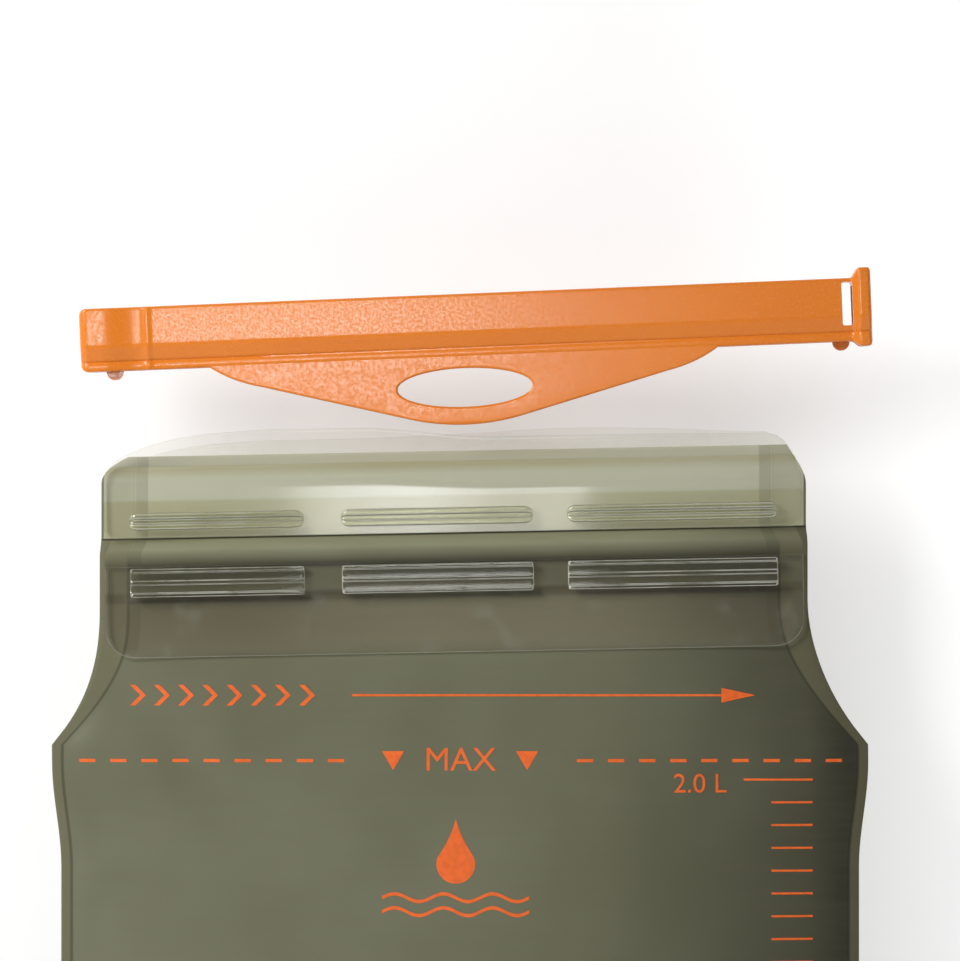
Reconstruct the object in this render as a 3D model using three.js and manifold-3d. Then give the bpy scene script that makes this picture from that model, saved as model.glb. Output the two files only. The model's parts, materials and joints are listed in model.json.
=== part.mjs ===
// Hydration bladder: a soft reservoir with a fold-over mouth, a slide-on closure channel, a push-button
// hose outlet, a coiled drink tube and a bite valve with a shut-off and a dust cap.
// Millimetres. +Z is up, the front of the bag faces -Y and +X is to the right, seen from the front.
// The origin is the middle of the back film's bottom edge, halfway through its thickness.
import * as THREE from 'three';
import { mergeVertices } from 'three/addons/utils/BufferGeometryUtils.js';
import Module from 'manifold-3d';

const wasm = await Module();
wasm.setup();

// ---------- driving dimensions: reservoir outline ----------
const FOLD_Z = 313; // fold line of the mouth, above the bottom edge
const LIP_RISE = 27; // lip edge above the fold line
const BODY_HALF_WIDTH = 92.4;
const SHOULDER_HALF_WIDTH = 94.6;
const NECK_HALF_WIDTH = 82;
const SHOULDER_Z = FOLD_Z - 50; // widest point of the shoulders
const FLARE_TOP_Z = FOLD_Z - 13.5; // the straight neck ends here
const FLARE_RADIUS = 47.5; // concave curve from the neck to the shoulder
const SHOULDER_FALL = 24; // the shoulder eases back to the body's width over this height
const BOTTOM_CORNER_RADIUS = 28;
const LEFT_LIP_CORNER = [37, 10.8]; // elliptical corners of the lip: across and up
const RIGHT_LIP_CORNER = [8, 14];
const NECK_TILT = THREE.MathUtils.degToRad(1.1); // the fold line rises to the right
const NECK_SHIFT = -1.5; // the neck's middle, from the body's

// ---------- driving dimensions: films, plates and rails ----------
const FILM_THICKNESS = 0.8;
const WELD_GAP = 0.1; // clearance between pieces welded face to face
const BACK_FILM_Y = -0.4; // inner face of the back film at the weld
const FRONT_FILM_Y = -0.7; // inner face of the front film at the weld
const SPLIT_GAP = 0.15; // from the fold line to each piece that ends at it
const SIDE_WELD = 6.5;
const BOTTOM_WELD = 9;
const MOUTH_HALF_GAP = 0.85; // each film stands this far off its weld at the mouth
const MOUTH_LOW_Z = SHOULDER_Z - 60; // the mouth's gap opens from here upwards
const LOW_BULGE_SHARE = 0.38; // the bulge is full above this share of the bag's height
const TOP_BULGE_SHARE = 0.6; // and falls away over this share, towards the neck
const FRONT_BULGE = 19;
const BACK_BULGE = 15;
const PLATE_THICKNESS = 0.8;
const PLATE_INSET = 1.2; // plates end this far inside the films' side edges
const PLATE_DROP = 24.4; // lower plate's bottom edge below the fold line
const PLATE_FOLD_GAP = 3.3; // the plates stop this far above and below the fold line
const LIP_PLATE_CORNER = 2.5;
const LOWER_PLATE_CORNER = 6.5;
const LIP_FILM_RISE = 19.7; // top edge of the front lip film above the fold line
const BACK_FILM_RISE = 22.2;
const RAIL_OFFSET = 7.1; // rail rows above and below the fold line
const RAIL_SPANS = { left: [-75, -34.5], centre: [-26, 18.5], right: [26.3, 75] };
const MALE_HEIGHT = 4.2;
const MALE_DEPTH = 2;
const MALE_GROOVE = [1.5, 0.7]; // width and depth of the groove along the male bar
const FEMALE_HEIGHT = 6.6;
const FEMALE_BASE = 0.6;
const FEMALE_DEPTH = 2.2;
const FEMALE_WALL = 0.85;
const FEMALE_RIDGE = [0.9, 0.35]; // width and height of the low centre ridge
const FOLD_AXIS_AHEAD = 1.5; // fold axis ahead of the front plates' outer faces

// ---------- driving dimensions: closure slider ----------
const SLIDER_CENTRE = new THREE.Vector3(3.6, -4.5, FOLD_Z + 51.2);
const SLIDER_TILT = THREE.MathUtils.degToRad(2.34); // right end higher
const SLIDER_LENGTH = 182.6;
const SLIDER_HEIGHT = 14.6;
const SLIDER_WIDTH = 9.6;
const SLIDER_WALL = 1.8;
const SLIDER_LIP_OPENING = 3; // the channel's open side, between its lips
const STOP_LENGTH = 15.5; // closed block at the left end
const STOP_SWELL = 0.8;
const FLANGE_LENGTH = 3.7; // flared flange at the right end
const FLANGE_SWELL = 1.3;
const END_WALL = 2.2; // closed wall at the left end
const END_SLOT = [2.4, 10]; // through slot beside the flange: width and height
const END_SLOT_LOW = -3.6; // its lower end, from the channel's middle
const NUB_RADIUS = 2.2;
const NUB_INSET = [7.5, 7]; // nubs under the back wall, from the left and the right end
const BEVEL_Z = -2.6; // the walls lean inwards below here
const TAB_HALF_ROOT = 60;
const TAB_DROP = 15.5;
const TAB_THICKNESS = 2.6;
const TAB_HOLE = [14, 4.9]; // half-axes of the finger hole
const TAB_OFFSET = -3; // the finger loop sits a little left of the middle
const TAB_FOOT = [20, 8.4]; // half-axes of its rounded foot
const TAB_JOIN = THREE.MathUtils.degToRad(12); // where the flanks meet the foot's ellipse
const TAB_SETBACK = 0.9; // behind the channel's front wall

// ---------- driving dimensions: outlet ----------
const PORT_Z = 48;
const PORT_FACE_Y = -13; // outer face of the film at the outlet
const PORT_FLAT_RADIUS = 33;
const PORT_BLEND = 14;
const FLANGE_RADIUS = 21;
const FLANGE_THICKNESS = 1.8;
const SPIGOT_RADIUS = 10;
const SPIGOT_LENGTH = 5;
const HOUSING_RADIUS = 16;
const HOUSING_DEPTH = 17;
const SOCKET_RADIUS = 6.4;
const OUTLET_BORE_RADIUS = 3.2;
const LATCH_SLOT = [17.4, 3.6]; // width and thickness of the slot that guides the latch
const LATCH_FLOOR = 14; // the slot's floor below the port axis
const LATCH_CEILING = 11.5;
const LATCH_BACKSET = 9; // the latch slot's middle, ahead of the housing's back
const LATCH_SIDE_CLEARANCE = 0.3;
const LATCH_FACE_CLEARANCE = 0.4;
const LATCH_PLATE = [-9.4, 11]; // lower and upper end of the latch plate, from the port axis
const STEM = { halfWidth: 4.6, low: 9, high: 19 };
const STEM_WINDOW = { halfWidth: 5, high: 20 };
const THUMB_PAD = { halfLength: 4, radius: 3.4, height: 2.2, bevel: 0.6 };
const BUTTON_TRAVEL = 1.5;
const SPRING = { wire: 0.22, radius: 1.15, turns: 4.5, endGap: 0.1 };
const PLUG_RADIUS = 6;
const PLUG_SHOULDER_RADIUS = 8;
const RING_GROOVE = { halfWidth: 0.9, depth: 1.2 };
const PLUG_RING_INSET = 3.2; // O-ring groove, from the plug's inner end
const SWIVEL_RING_INSET = 6; // O-ring groove, inside the elbow's open end
const RING_WIRE = 0.7;

// ---------- driving dimensions: elbow, tube and bite valve ----------
const ELBOW_RADIUS = 9;
const ELBOW_DEPTH = 17;
const ELBOW_ARM = { radius: 5.6, length: 15, ahead: 3.5 }; // ahead of the drum's middle
const ELBOW_BARB_END = 25;
const ELBOW_BORE = 1.9;
const TUBE_OUTER = 4.75;
const TUBE_BORE = 3.2;
const BARB_RADIUS = 2.7;
const COIL_CENTRE = new THREE.Vector2(0, -150);
const COIL_INNER = 46;
const COIL_PITCH = 12.5; // growth of the coil's radius per turn
const COIL_START = THREE.MathUtils.degToRad(-20);
const COIL_SWEEP = THREE.MathUtils.degToRad(790);
const VALVE_X = -27; // start of the valve body, on the tube's straight tail
const VALVE_Z = 10;

const NECK_STACK = MOUTH_HALF_GAP + FILM_THICKNESS + WELD_GAP; // from a film's weld face to its plate
const FRONT_PLATE_INNER = FRONT_FILM_Y - NECK_STACK;
const FRONT_PLATE_OUTER = FRONT_PLATE_INNER - PLATE_THICKNESS;
const BACK_PLATE_INNER = BACK_FILM_Y + NECK_STACK;
const BACK_PLATE_OUTER = BACK_PLATE_INNER + PLATE_THICKNESS;
const RAIL_FOOT_Y = FRONT_PLATE_OUTER - WELD_GAP;
const FOLD_AXIS_Y = FRONT_PLATE_OUTER - FOLD_AXIS_AHEAD;
const LIP_Z = FOLD_Z + LIP_RISE;
const HOUSING_BACK_Y = PORT_FACE_Y - FLANGE_THICKNESS - 2 * WELD_GAP;
const HOUSING_FRONT_Y = HOUSING_BACK_Y - HOUSING_DEPTH;
const LATCH_Y = HOUSING_BACK_Y - LATCH_BACKSET;
const PLUG_INNER_Y = HOUSING_BACK_Y - 2.9;
const ELBOW_BACK_Y = HOUSING_FRONT_Y - 1.2;
const ELBOW_ARM_Y = ELBOW_BACK_Y - ELBOW_DEPTH / 2 - ELBOW_ARM.ahead;
const COIL_Y_END = COIL_CENTRE.y - COIL_INNER - (COIL_PITCH * COIL_SWEEP) / (2 * Math.PI);

// ---------- materials ----------
function plastic(color, roughness) {
  return new THREE.MeshStandardMaterial({ color, roughness, metalness: 0 });
}
const oliveFilm = () => plastic(0x6b6c57, 0.38);
const clearPlastic = () => plastic(0xc9cdb8, 0.15);
const orangePlastic = () => plastic(0xe87a22, 0.42);
const darkPlastic = () => plastic(0x2f312c, 0.5);
const greyPlastic = () => plastic(0x6a6d68, 0.45);
const blackRubber = () => plastic(0x161616, 0.8);
const silicone = () => plastic(0xd8dcd6, 0.35);
const steel = () => new THREE.MeshStandardMaterial({ color: 0xb8bcc0, roughness: 0.3, metalness: 1 });

// ---------- solids ----------
function solidOf(geometry) {
  const bare = geometry.clone();
  bare.deleteAttribute('normal');
  bare.deleteAttribute('uv');
  const merged = mergeVertices(bare, 1e-4);
  const triVerts = Uint32Array.from(merged.index.array);
  const vertProperties = Float32Array.from(merged.attributes.position.array);
  return new wasm.Manifold(new wasm.Mesh({ numProp: 3, vertProperties, triVerts }));
}

function geometryOf(solid) {
  const mesh = solid.getMesh();
  const geometry = new THREE.BufferGeometry();
  geometry.setAttribute('position', new THREE.BufferAttribute(Float32Array.from(mesh.vertProperties), 3));
  geometry.setIndex(new THREE.BufferAttribute(Uint32Array.from(mesh.triVerts), 1));
  geometry.computeVertexNormals();
  return geometry;
}

function boxBetween(low, high) {
  const size = high.map((value, i) => value - low[i]);
  const middle = high.map((value, i) => (value + low[i]) / 2);
  return new THREE.BoxGeometry(...size).translate(...middle);
}

// A cylinder along Y between two depths, centred on (x, z).
function rodY(radius, yLow, yHigh, x = 0, z = 0, sides = 28) {
  const rod = new THREE.CylinderGeometry(radius, radius, yHigh - yLow, sides);
  return rod.translate(0, (yLow + yHigh) / 2, 0).translate(x, 0, z);
}

function rodX(radius, xLow, xHigh, y = 0, z = 0, sides = 24) {
  const rod = new THREE.CylinderGeometry(radius, radius, xHigh - xLow, sides).rotateZ(Math.PI / 2);
  return rod.translate((xLow + xHigh) / 2, y, z);
}

function rodZ(radius, zLow, zHigh, x = 0, y = 0, sides = 24) {
  const rod = new THREE.CylinderGeometry(radius, radius, zHigh - zLow, sides).rotateX(Math.PI / 2);
  return rod.translate(x, y, (zLow + zHigh) / 2);
}

// Extrudes an outline drawn in X and Z from one depth to another along Y.
function plateXZ(outline, yFront, yBack, curveSegments = 10) {
  const options = { depth: yBack - yFront, bevelEnabled: false, curveSegments };
  return new THREE.ExtrudeGeometry(outline, options).rotateX(Math.PI / 2).translate(0, yBack, 0);
}

// Extrudes a cross-section drawn as (y, z) points along X.
function barX(points, xLow, xHigh) {
  const section = new THREE.Shape(points.map(([y, z]) => new THREE.Vector2(y, z)));
  const bar = new THREE.ExtrudeGeometry(section, { depth: xHigh - xLow, bevelEnabled: false });
  const turn = new THREE.Matrix4().set(0, 0, 1, xLow, 1, 0, 0, 0, 0, 1, 0, 0, 0, 0, 0, 1);
  return bar.applyMatrix4(turn);
}

// Turns a closed profile of (along, radius) points about X.
function turnedX(profile, sides) {
  const points = profile.map(([along, radius]) => new THREE.Vector2(radius, along));
  points.push(points[0].clone());
  return new THREE.LatheGeometry(points, sides).rotateZ(-Math.PI / 2);
}

function add(group, name, geometry, material) {
  const mesh = new THREE.Mesh(geometry, material);
  mesh.name = name;
  group.add(mesh);
  return mesh;
}

// ---------- reservoir films ----------
function smooth(low, high, value) {
  return THREE.MathUtils.smoothstep(value, low, high);
}

// Half-width of the bag's outline at a height: rounded bottom corners, straight sides, shoulders, a
// concave flare up to the neck, and the lip's elliptical corners.
function halfWidthAt(z, side) {
  if (z < BOTTOM_CORNER_RADIUS) {
    const below = BOTTOM_CORNER_RADIUS - z;
    return BODY_HALF_WIDTH - BOTTOM_CORNER_RADIUS + Math.sqrt(BOTTOM_CORNER_RADIUS ** 2 - below ** 2);
  }
  const body = BODY_HALF_WIDTH
    + (SHOULDER_HALF_WIDTH - BODY_HALF_WIDTH) * smooth(SHOULDER_Z - SHOULDER_FALL, SHOULDER_Z, z);
  if (z <= SHOULDER_Z) return body;
  const drop = Math.max(FLARE_TOP_Z - z, 0);
  const flare = NECK_HALF_WIDTH + FLARE_RADIUS - Math.sqrt(FLARE_RADIUS ** 2 - drop ** 2);
  const [cornerWidth, cornerHeight] = side < 0 ? LEFT_LIP_CORNER : RIGHT_LIP_CORNER;
  const cornerBase = LIP_Z - cornerHeight;
  if (z <= cornerBase) return Math.min(body, flare);
  const up = Math.min((z - cornerBase) / cornerHeight, 1);
  return NECK_HALF_WIDTH - cornerWidth * (1 - Math.sqrt(1 - up ** 2));
}

// Distance of a film's inner face from its place at the weld, at a share of the half-width.
function standOff(share, z, bulge) {
  const half = halfWidthAt(z, share);
  const across = Math.min((Math.abs(share) * half) / (half - SIDE_WELD), 1);
  const mouth = MOUTH_HALF_GAP * (1 - across ** 8) * smooth(MOUTH_LOW_Z, SHOULDER_Z, z);
  const neckZ = FOLD_Z - PLATE_DROP;
  const up = THREE.MathUtils.clamp((z - BOTTOM_WELD) / (neckZ - BOTTOM_WELD), 0, 1);
  const lowEnd = Math.sin((Math.PI / 2) * Math.min(up / LOW_BULGE_SHARE, 1));
  const topEnd = smooth(0, 1, (1 - up) / TOP_BULGE_SHARE);
  return mouth + bulge * lowEnd * topEnd * (1 - across ** 2) ** 0.75;
}

// One film between two heights. side is -1 for the front film and +1 for the back film. lean is 1 for
// a film that joins the body to the tilted neck, and 0 for one drawn in the neck's own frame.
function filmSheet(side, zLow, zHigh, columns, rows, bulge, lean) {
  const weldY = side < 0 ? FRONT_FILM_Y : BACK_FILM_Y;
  const sheet = new THREE.BoxGeometry(2, 1, 1, columns, 1, rows);
  const position = sheet.attributes.position;
  for (let i = 0; i < position.count; i += 1) {
    const share = position.getX(i);
    const level = zLow + (position.getZ(i) + 0.5) * (zHigh - zLow);
    const neckShare = lean * smooth(SHOULDER_Z, FLARE_TOP_Z, level);
    const across = share * halfWidthAt(level, share);
    const x = across + NECK_SHIFT * neckShare;
    const z = level + Math.tan(NECK_TILT) * across * neckShare;
    const outer = position.getY(i) * side > 0;
    let depth = standOff(share, level, bulge);
    if (side < 0) {
      const fromPort = Math.hypot(x, z - PORT_Z);
      const flat = 1 - smooth(PORT_FLAT_RADIUS, PORT_FLAT_RADIUS + PORT_BLEND, fromPort);
      depth = THREE.MathUtils.lerp(depth, weldY - PORT_FACE_Y - FILM_THICKNESS, flat);
    }
    position.setXYZ(i, x, weldY + side * (depth + (outer ? FILM_THICKNESS : 0)), z);
  }
  return sheet;
}

function frontFilm() {
  const film = filmSheet(-1, 0, FOLD_Z - SPLIT_GAP, 16, 34, FRONT_BULGE, 1);
  const hole = rodY(SPIGOT_RADIUS + WELD_GAP, PORT_FACE_Y - 5, PORT_FACE_Y + 5, 0, PORT_Z);
  return geometryOf(solidOf(film).subtract(solidOf(hole)));
}

// ---------- neck plates and rails ----------
// The lip plate's outline: small lower corners and the lip's elliptical upper corners.
function lipPlateOutline() {
  const half = NECK_HALF_WIDTH - PLATE_INSET;
  const low = FOLD_Z + PLATE_FOLD_GAP;
  const corner = LIP_PLATE_CORNER;
  const [leftWidth, leftHeight] = LEFT_LIP_CORNER;
  const [rightWidth, rightHeight] = RIGHT_LIP_CORNER;
  const shape = new THREE.Shape();
  shape.moveTo(-half + corner, low);
  shape.lineTo(half - corner, low);
  shape.absarc(half - corner, low + corner, corner, -Math.PI / 2, 0);
  shape.absellipse(half - rightWidth, LIP_Z - rightHeight, rightWidth, rightHeight, 0, Math.PI / 2);
  shape.absellipse(leftWidth - half, LIP_Z - leftHeight, leftWidth, leftHeight, Math.PI / 2, Math.PI);
  shape.absarc(-half + corner, low + corner, corner, Math.PI, 1.5 * Math.PI);
  return shape;
}

function lowerPlateOutline() {
  const half = NECK_HALF_WIDTH - PLATE_INSET;
  const high = FOLD_Z - PLATE_FOLD_GAP;
  const low = FOLD_Z - PLATE_DROP;
  const corner = LOWER_PLATE_CORNER;
  const shape = new THREE.Shape();
  shape.moveTo(-half, high);
  shape.absarc(-half + corner, low + corner, corner, Math.PI, 1.5 * Math.PI);
  shape.absarc(half - corner, low + corner, corner, 1.5 * Math.PI, 2 * Math.PI);
  shape.lineTo(half, high);
  return shape;
}

// Male bar: rounded ends, and a flat front with one groove along its whole length.
function maleRail([xLow, xHigh]) {
  const radius = MALE_HEIGHT / 2;
  const z = FOLD_Z + RAIL_OFFSET;
  const shape = new THREE.Shape();
  shape.absarc(xLow + radius, z, radius, Math.PI / 2, 1.5 * Math.PI);
  shape.absarc(xHigh - radius, z, radius, -Math.PI / 2, Math.PI / 2);
  const bar = solidOf(plateXZ(shape, RAIL_FOOT_Y - MALE_DEPTH, RAIL_FOOT_Y, 8));
  const [width, depth] = MALE_GROOVE;
  const front = RAIL_FOOT_Y - MALE_DEPTH;
  const low = [xLow - 1, front - 1, z - width / 2];
  const high = [xHigh + 1, front + depth, z + width / 2];
  return geometryOf(bar.subtract(solidOf(boxBetween(low, high))));
}

// Female rail: two outer ridges with a channel between them for the male bar, and a low centre ridge.
function femaleRail([xLow, xHigh]) {
  const half = FEMALE_HEIGHT / 2;
  const z = FOLD_Z - RAIL_OFFSET;
  const back = RAIL_FOOT_Y;
  const base = back - FEMALE_BASE;
  const tip = back - FEMALE_DEPTH;
  const inner = half - FEMALE_WALL;
  const [ridgeWidth, ridgeHeight] = FEMALE_RIDGE;
  const section = [
    [back, -half], [back, half], [tip, half], [tip, inner], [base, inner],
    [base, ridgeWidth / 2], [base - ridgeHeight, ridgeWidth / 2], [base - ridgeHeight, -ridgeWidth / 2],
    [base, -ridgeWidth / 2], [base, -inner], [tip, -inner], [tip, -half],
  ];
  return barX(section, xLow, xHigh).translate(0, 0, z);
}

// ---------- closure slider ----------
// Channel cross-section, open at the bottom: flat upper walls, a bevel inwards, and two turned-in lips.
function channelSection(swell) {
  const half = SLIDER_WIDTH / 2 + swell;
  const top = SLIDER_HEIGHT / 2 + swell * 0.4;
  const bottom = -SLIDER_HEIGHT / 2 - swell * 0.4;
  const lip = half - 1.5;
  return [
    [-half, BEVEL_Z], [-half, top - 1.2], [-half + 1.2, top], [half - 1.2, top], [half, top - 1.2],
    [half, BEVEL_Z], [lip, bottom + 1], [lip, bottom], [-lip, bottom], [-lip, bottom + 1],
  ];
}

function channelVoid(xLow, xHigh) {
  const inner = SLIDER_WIDTH / 2 - SLIDER_WALL;
  const slot = SLIDER_LIP_OPENING / 2;
  const top = SLIDER_HEIGHT / 2 - SLIDER_WALL;
  const below = -SLIDER_HEIGHT;
  const shoulder = -SLIDER_HEIGHT / 2 + 2.2;
  const section = [
    [-inner, -1.5], [-inner, top], [inner, top], [inner, -1.5],
    [slot, shoulder], [slot, below], [-slot, below], [-slot, shoulder],
  ];
  return solidOf(barX(section, xLow, xHigh));
}

// Finger loop under the channel's front wall: concave flanks, a rounded foot and an oval hole.
function fingerLoop() {
  const rootZ = -SLIDER_HEIGHT / 2 + 0.6;
  const [footRadiusX, footRadiusZ] = TAB_FOOT;
  const footZ = -SLIDER_HEIGHT / 2 - TAB_DROP + footRadiusZ;
  const joinX = footRadiusX * Math.cos(TAB_JOIN);
  const joinZ = footZ - footRadiusZ * Math.sin(TAB_JOIN);
  const shape = new THREE.Shape();
  shape.moveTo(-TAB_HALF_ROOT, rootZ);
  shape.quadraticCurveTo(-TAB_HALF_ROOT * 0.5, rootZ - 1.2, -joinX, joinZ);
  shape.absellipse(0, footZ, footRadiusX, footRadiusZ, Math.PI + TAB_JOIN, 2 * Math.PI - TAB_JOIN);
  shape.quadraticCurveTo(TAB_HALF_ROOT * 0.5, rootZ - 1.2, TAB_HALF_ROOT, rootZ);
  const hole = new THREE.Path();
  hole.absellipse(0, -SLIDER_HEIGHT / 2 - 2 - TAB_HOLE[1], TAB_HOLE[0], TAB_HOLE[1], 0, 2 * Math.PI);
  shape.holes.push(hole);
  const front = -SLIDER_WIDTH / 2 + TAB_SETBACK;
  return solidOf(plateXZ(shape, front, front + TAB_THICKNESS, 12).translate(TAB_OFFSET, 0, 0));
}

function closureSlider() {
  const end = SLIDER_LENGTH / 2;
  const bar = solidOf(barX(channelSection(0), -end + 1, end - 1));
  const stop = solidOf(barX(channelSection(STOP_SWELL), -end, -end + STOP_LENGTH));
  const flange = solidOf(barX(channelSection(FLANGE_SWELL), end - FLANGE_LENGTH, end));
  const nubY = SLIDER_WIDTH / 2 - 2.6;
  const nubZ = -SLIDER_HEIGHT / 2;
  const leftNub = solidOf(rodY(NUB_RADIUS, nubY - 1, nubY + 1, -end + NUB_INSET[0], nubZ, 16));
  const rightNub = solidOf(rodY(NUB_RADIUS, nubY - 1, nubY + 1, end - NUB_INSET[1], nubZ, 16));
  const slotHigh = end - FLANGE_LENGTH - 0.4;
  const [slotWidth, slotHeight] = END_SLOT;
  const slotLow = [slotHigh - slotWidth, -SLIDER_WIDTH, END_SLOT_LOW];
  const endSlot = solidOf(boxBetween(slotLow, [slotHigh, SLIDER_WIDTH, slotLow[2] + slotHeight]));
  const solid = bar.add(stop).add(flange).add(fingerLoop()).subtract(channelVoid(-end + END_WALL, end + 1));
  return geometryOf(solid.add(leftNub).add(rightNub).subtract(endSlot));
}

// ---------- outlet ----------
function outletFlange() {
  const back = PORT_FACE_Y - WELD_GAP;
  const disc = solidOf(rodY(FLANGE_RADIUS, back - FLANGE_THICKNESS, back, 0, PORT_Z, 36));
  const spigot = solidOf(rodY(SPIGOT_RADIUS, back - 1, back + SPIGOT_LENGTH, 0, PORT_Z));
  const bore = solidOf(rodY(OUTLET_BORE_RADIUS, back - 10, back + 10, 0, PORT_Z));
  return geometryOf(disc.add(spigot).subtract(bore));
}

function socketHousing() {
  const body = solidOf(rodY(HOUSING_RADIUS, HOUSING_FRONT_Y + 1.2, HOUSING_BACK_Y, 0, PORT_Z, 36));
  const nose = solidOf(rodY(HOUSING_RADIUS - 1.4, HOUSING_FRONT_Y, HOUSING_BACK_Y, 0, PORT_Z, 36));
  const socket = solidOf(rodY(SOCKET_RADIUS, HOUSING_FRONT_Y - 1, HOUSING_BACK_Y - 2.5, 0, PORT_Z));
  const bore = solidOf(rodY(OUTLET_BORE_RADIUS, HOUSING_FRONT_Y, HOUSING_BACK_Y + 1, 0, PORT_Z));
  const [width, thick] = LATCH_SLOT;
  const low = [-width / 2, LATCH_Y - thick / 2, PORT_Z - LATCH_FLOOR];
  const back = LATCH_Y + thick / 2;
  const slot = solidOf(boxBetween(low, [width / 2, back, PORT_Z + LATCH_CEILING]));
  const windowLow = [-STEM_WINDOW.halfWidth, low[1], PORT_Z];
  const window = solidOf(boxBetween(windowLow, [STEM_WINDOW.halfWidth, back, PORT_Z + STEM_WINDOW.high]));
  return geometryOf(body.add(nose).subtract(socket).subtract(bore).subtract(slot).subtract(window));
}

// Latch plate that straddles the plug, its stem and the thumb pad on top, in one moulding.
function releaseButton() {
  const half = LATCH_SLOT[0] / 2 - LATCH_SIDE_CLEARANCE;
  const thick = LATCH_SLOT[1] / 2 - LATCH_FACE_CLEARANCE;
  const [plateLow, plateHigh] = LATCH_PLATE.map((z) => PORT_Z + z);
  const plate = solidOf(boxBetween([-half, LATCH_Y - thick, plateLow], [half, LATCH_Y + thick, plateHigh]));
  const stemLow = [-STEM.halfWidth, LATCH_Y - thick, PORT_Z + STEM.low];
  const stem = solidOf(boxBetween(stemLow, [STEM.halfWidth, LATCH_Y + thick, PORT_Z + STEM.high]));
  const { halfLength, radius, height, bevel } = THUMB_PAD;
  const pad = new THREE.Shape();
  pad.absarc(-halfLength, LATCH_Y, radius, Math.PI / 2, 1.5 * Math.PI);
  pad.absarc(halfLength, LATCH_Y, radius, -Math.PI / 2, Math.PI / 2);
  const options = { bevelThickness: bevel, bevelSize: bevel, bevelSegments: 1, curveSegments: 8 };
  const button = new THREE.ExtrudeGeometry(pad, { depth: height, ...options });
  button.translate(0, 0, PORT_Z + HOUSING_RADIUS + BUTTON_TRAVEL + 1);
  const holeRadius = PLUG_RADIUS + 0.4;
  const hole = solidOf(rodY(holeRadius, LATCH_Y - 4, LATCH_Y + 4, 0, PORT_Z));
  const raised = solidOf(rodY(holeRadius, LATCH_Y - 4, LATCH_Y + 4, 0, PORT_Z + BUTTON_TRAVEL));
  return geometryOf(plate.add(stem).add(solidOf(button)).subtract(hole).subtract(raised));
}

class Helix extends THREE.Curve {
  constructor(radius, turns, low, high) {
    super();
    Object.assign(this, { radius, turns, low, high });
  }

  getPoint(t, target = new THREE.Vector3()) {
    const angle = 2 * Math.PI * this.turns * t;
    const z = THREE.MathUtils.lerp(this.low, this.high, t);
    return target.set(this.radius * Math.cos(angle), this.radius * Math.sin(angle), z);
  }
}

function buttonSpring() {
  const { wire, radius, turns, endGap } = SPRING;
  const low = PORT_Z - LATCH_FLOOR + wire + endGap;
  const high = PORT_Z + LATCH_PLATE[0] - wire - endGap;
  const path = new Helix(radius, turns, low, high);
  const section = new THREE.Shape().absarc(0, 0, wire, 0, 2 * Math.PI);
  const options = { steps: 45, curveSegments: 2, extrudePath: path, bevelEnabled: false };
  return new THREE.ExtrudeGeometry(section, options).translate(0, LATCH_Y, 0);
}

function plugCore() {
  const inner = PLUG_INNER_Y;
  const outer = ELBOW_BACK_Y - 10.5;
  const body = solidOf(rodY(PLUG_RADIUS, outer, inner, 0, PORT_Z, 32));
  const shoulderBack = HOUSING_FRONT_Y - 0.3;
  const shoulder = solidOf(rodY(PLUG_SHOULDER_RADIUS, shoulderBack - 0.6, shoulderBack, 0, PORT_Z, 32));
  const bore = solidOf(rodY(OUTLET_BORE_RADIUS, outer - 1, inner + 1, 0, PORT_Z, 24));
  const { halfWidth, depth } = RING_GROOVE;
  const grooves = [inner - PLUG_RING_INSET, ELBOW_BACK_Y - SWIVEL_RING_INSET].map((y) => {
    const ring = solidOf(rodY(PLUG_RADIUS + 1, y - halfWidth, y + halfWidth, 0, PORT_Z));
    return ring.subtract(solidOf(rodY(PLUG_RADIUS - depth, y - 2, y + 2, 0, PORT_Z)));
  });
  return geometryOf(body.add(shoulder).subtract(bore).subtract(grooves[0]).subtract(grooves[1]));
}

function oRing(y) {
  const radius = PLUG_RADIUS + 0.25 - RING_WIRE;
  return new THREE.TorusGeometry(radius, RING_WIRE, 6, 24).rotateX(Math.PI / 2).translate(0, y, PORT_Z);
}

// ---------- elbow and drink tube ----------
function swivelElbow() {
  const front = ELBOW_BACK_Y - ELBOW_DEPTH;
  const drum = solidOf(rodY(ELBOW_RADIUS, front + 1.5, ELBOW_BACK_Y, 0, PORT_Z, 32));
  const dome = solidOf(rodY(ELBOW_RADIUS - 1.5, front, ELBOW_BACK_Y, 0, PORT_Z, 32));
  const arm = solidOf(rodX(ELBOW_ARM.radius, 0, ELBOW_ARM.length, ELBOW_ARM_Y, PORT_Z));
  const barb = solidOf(rodX(BARB_RADIUS, 10, ELBOW_BARB_END, ELBOW_ARM_Y, PORT_Z, 20));
  const chamber = solidOf(rodY(PLUG_RADIUS + 0.35, front + 2.4, ELBOW_BACK_Y + 1, 0, PORT_Z, 32));
  const bore = solidOf(rodX(ELBOW_BORE, 0, ELBOW_BARB_END + 1, ELBOW_ARM_Y, PORT_Z, 16));
  return geometryOf(drum.add(dome).add(arm).add(barb).subtract(chamber).subtract(bore));
}

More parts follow.
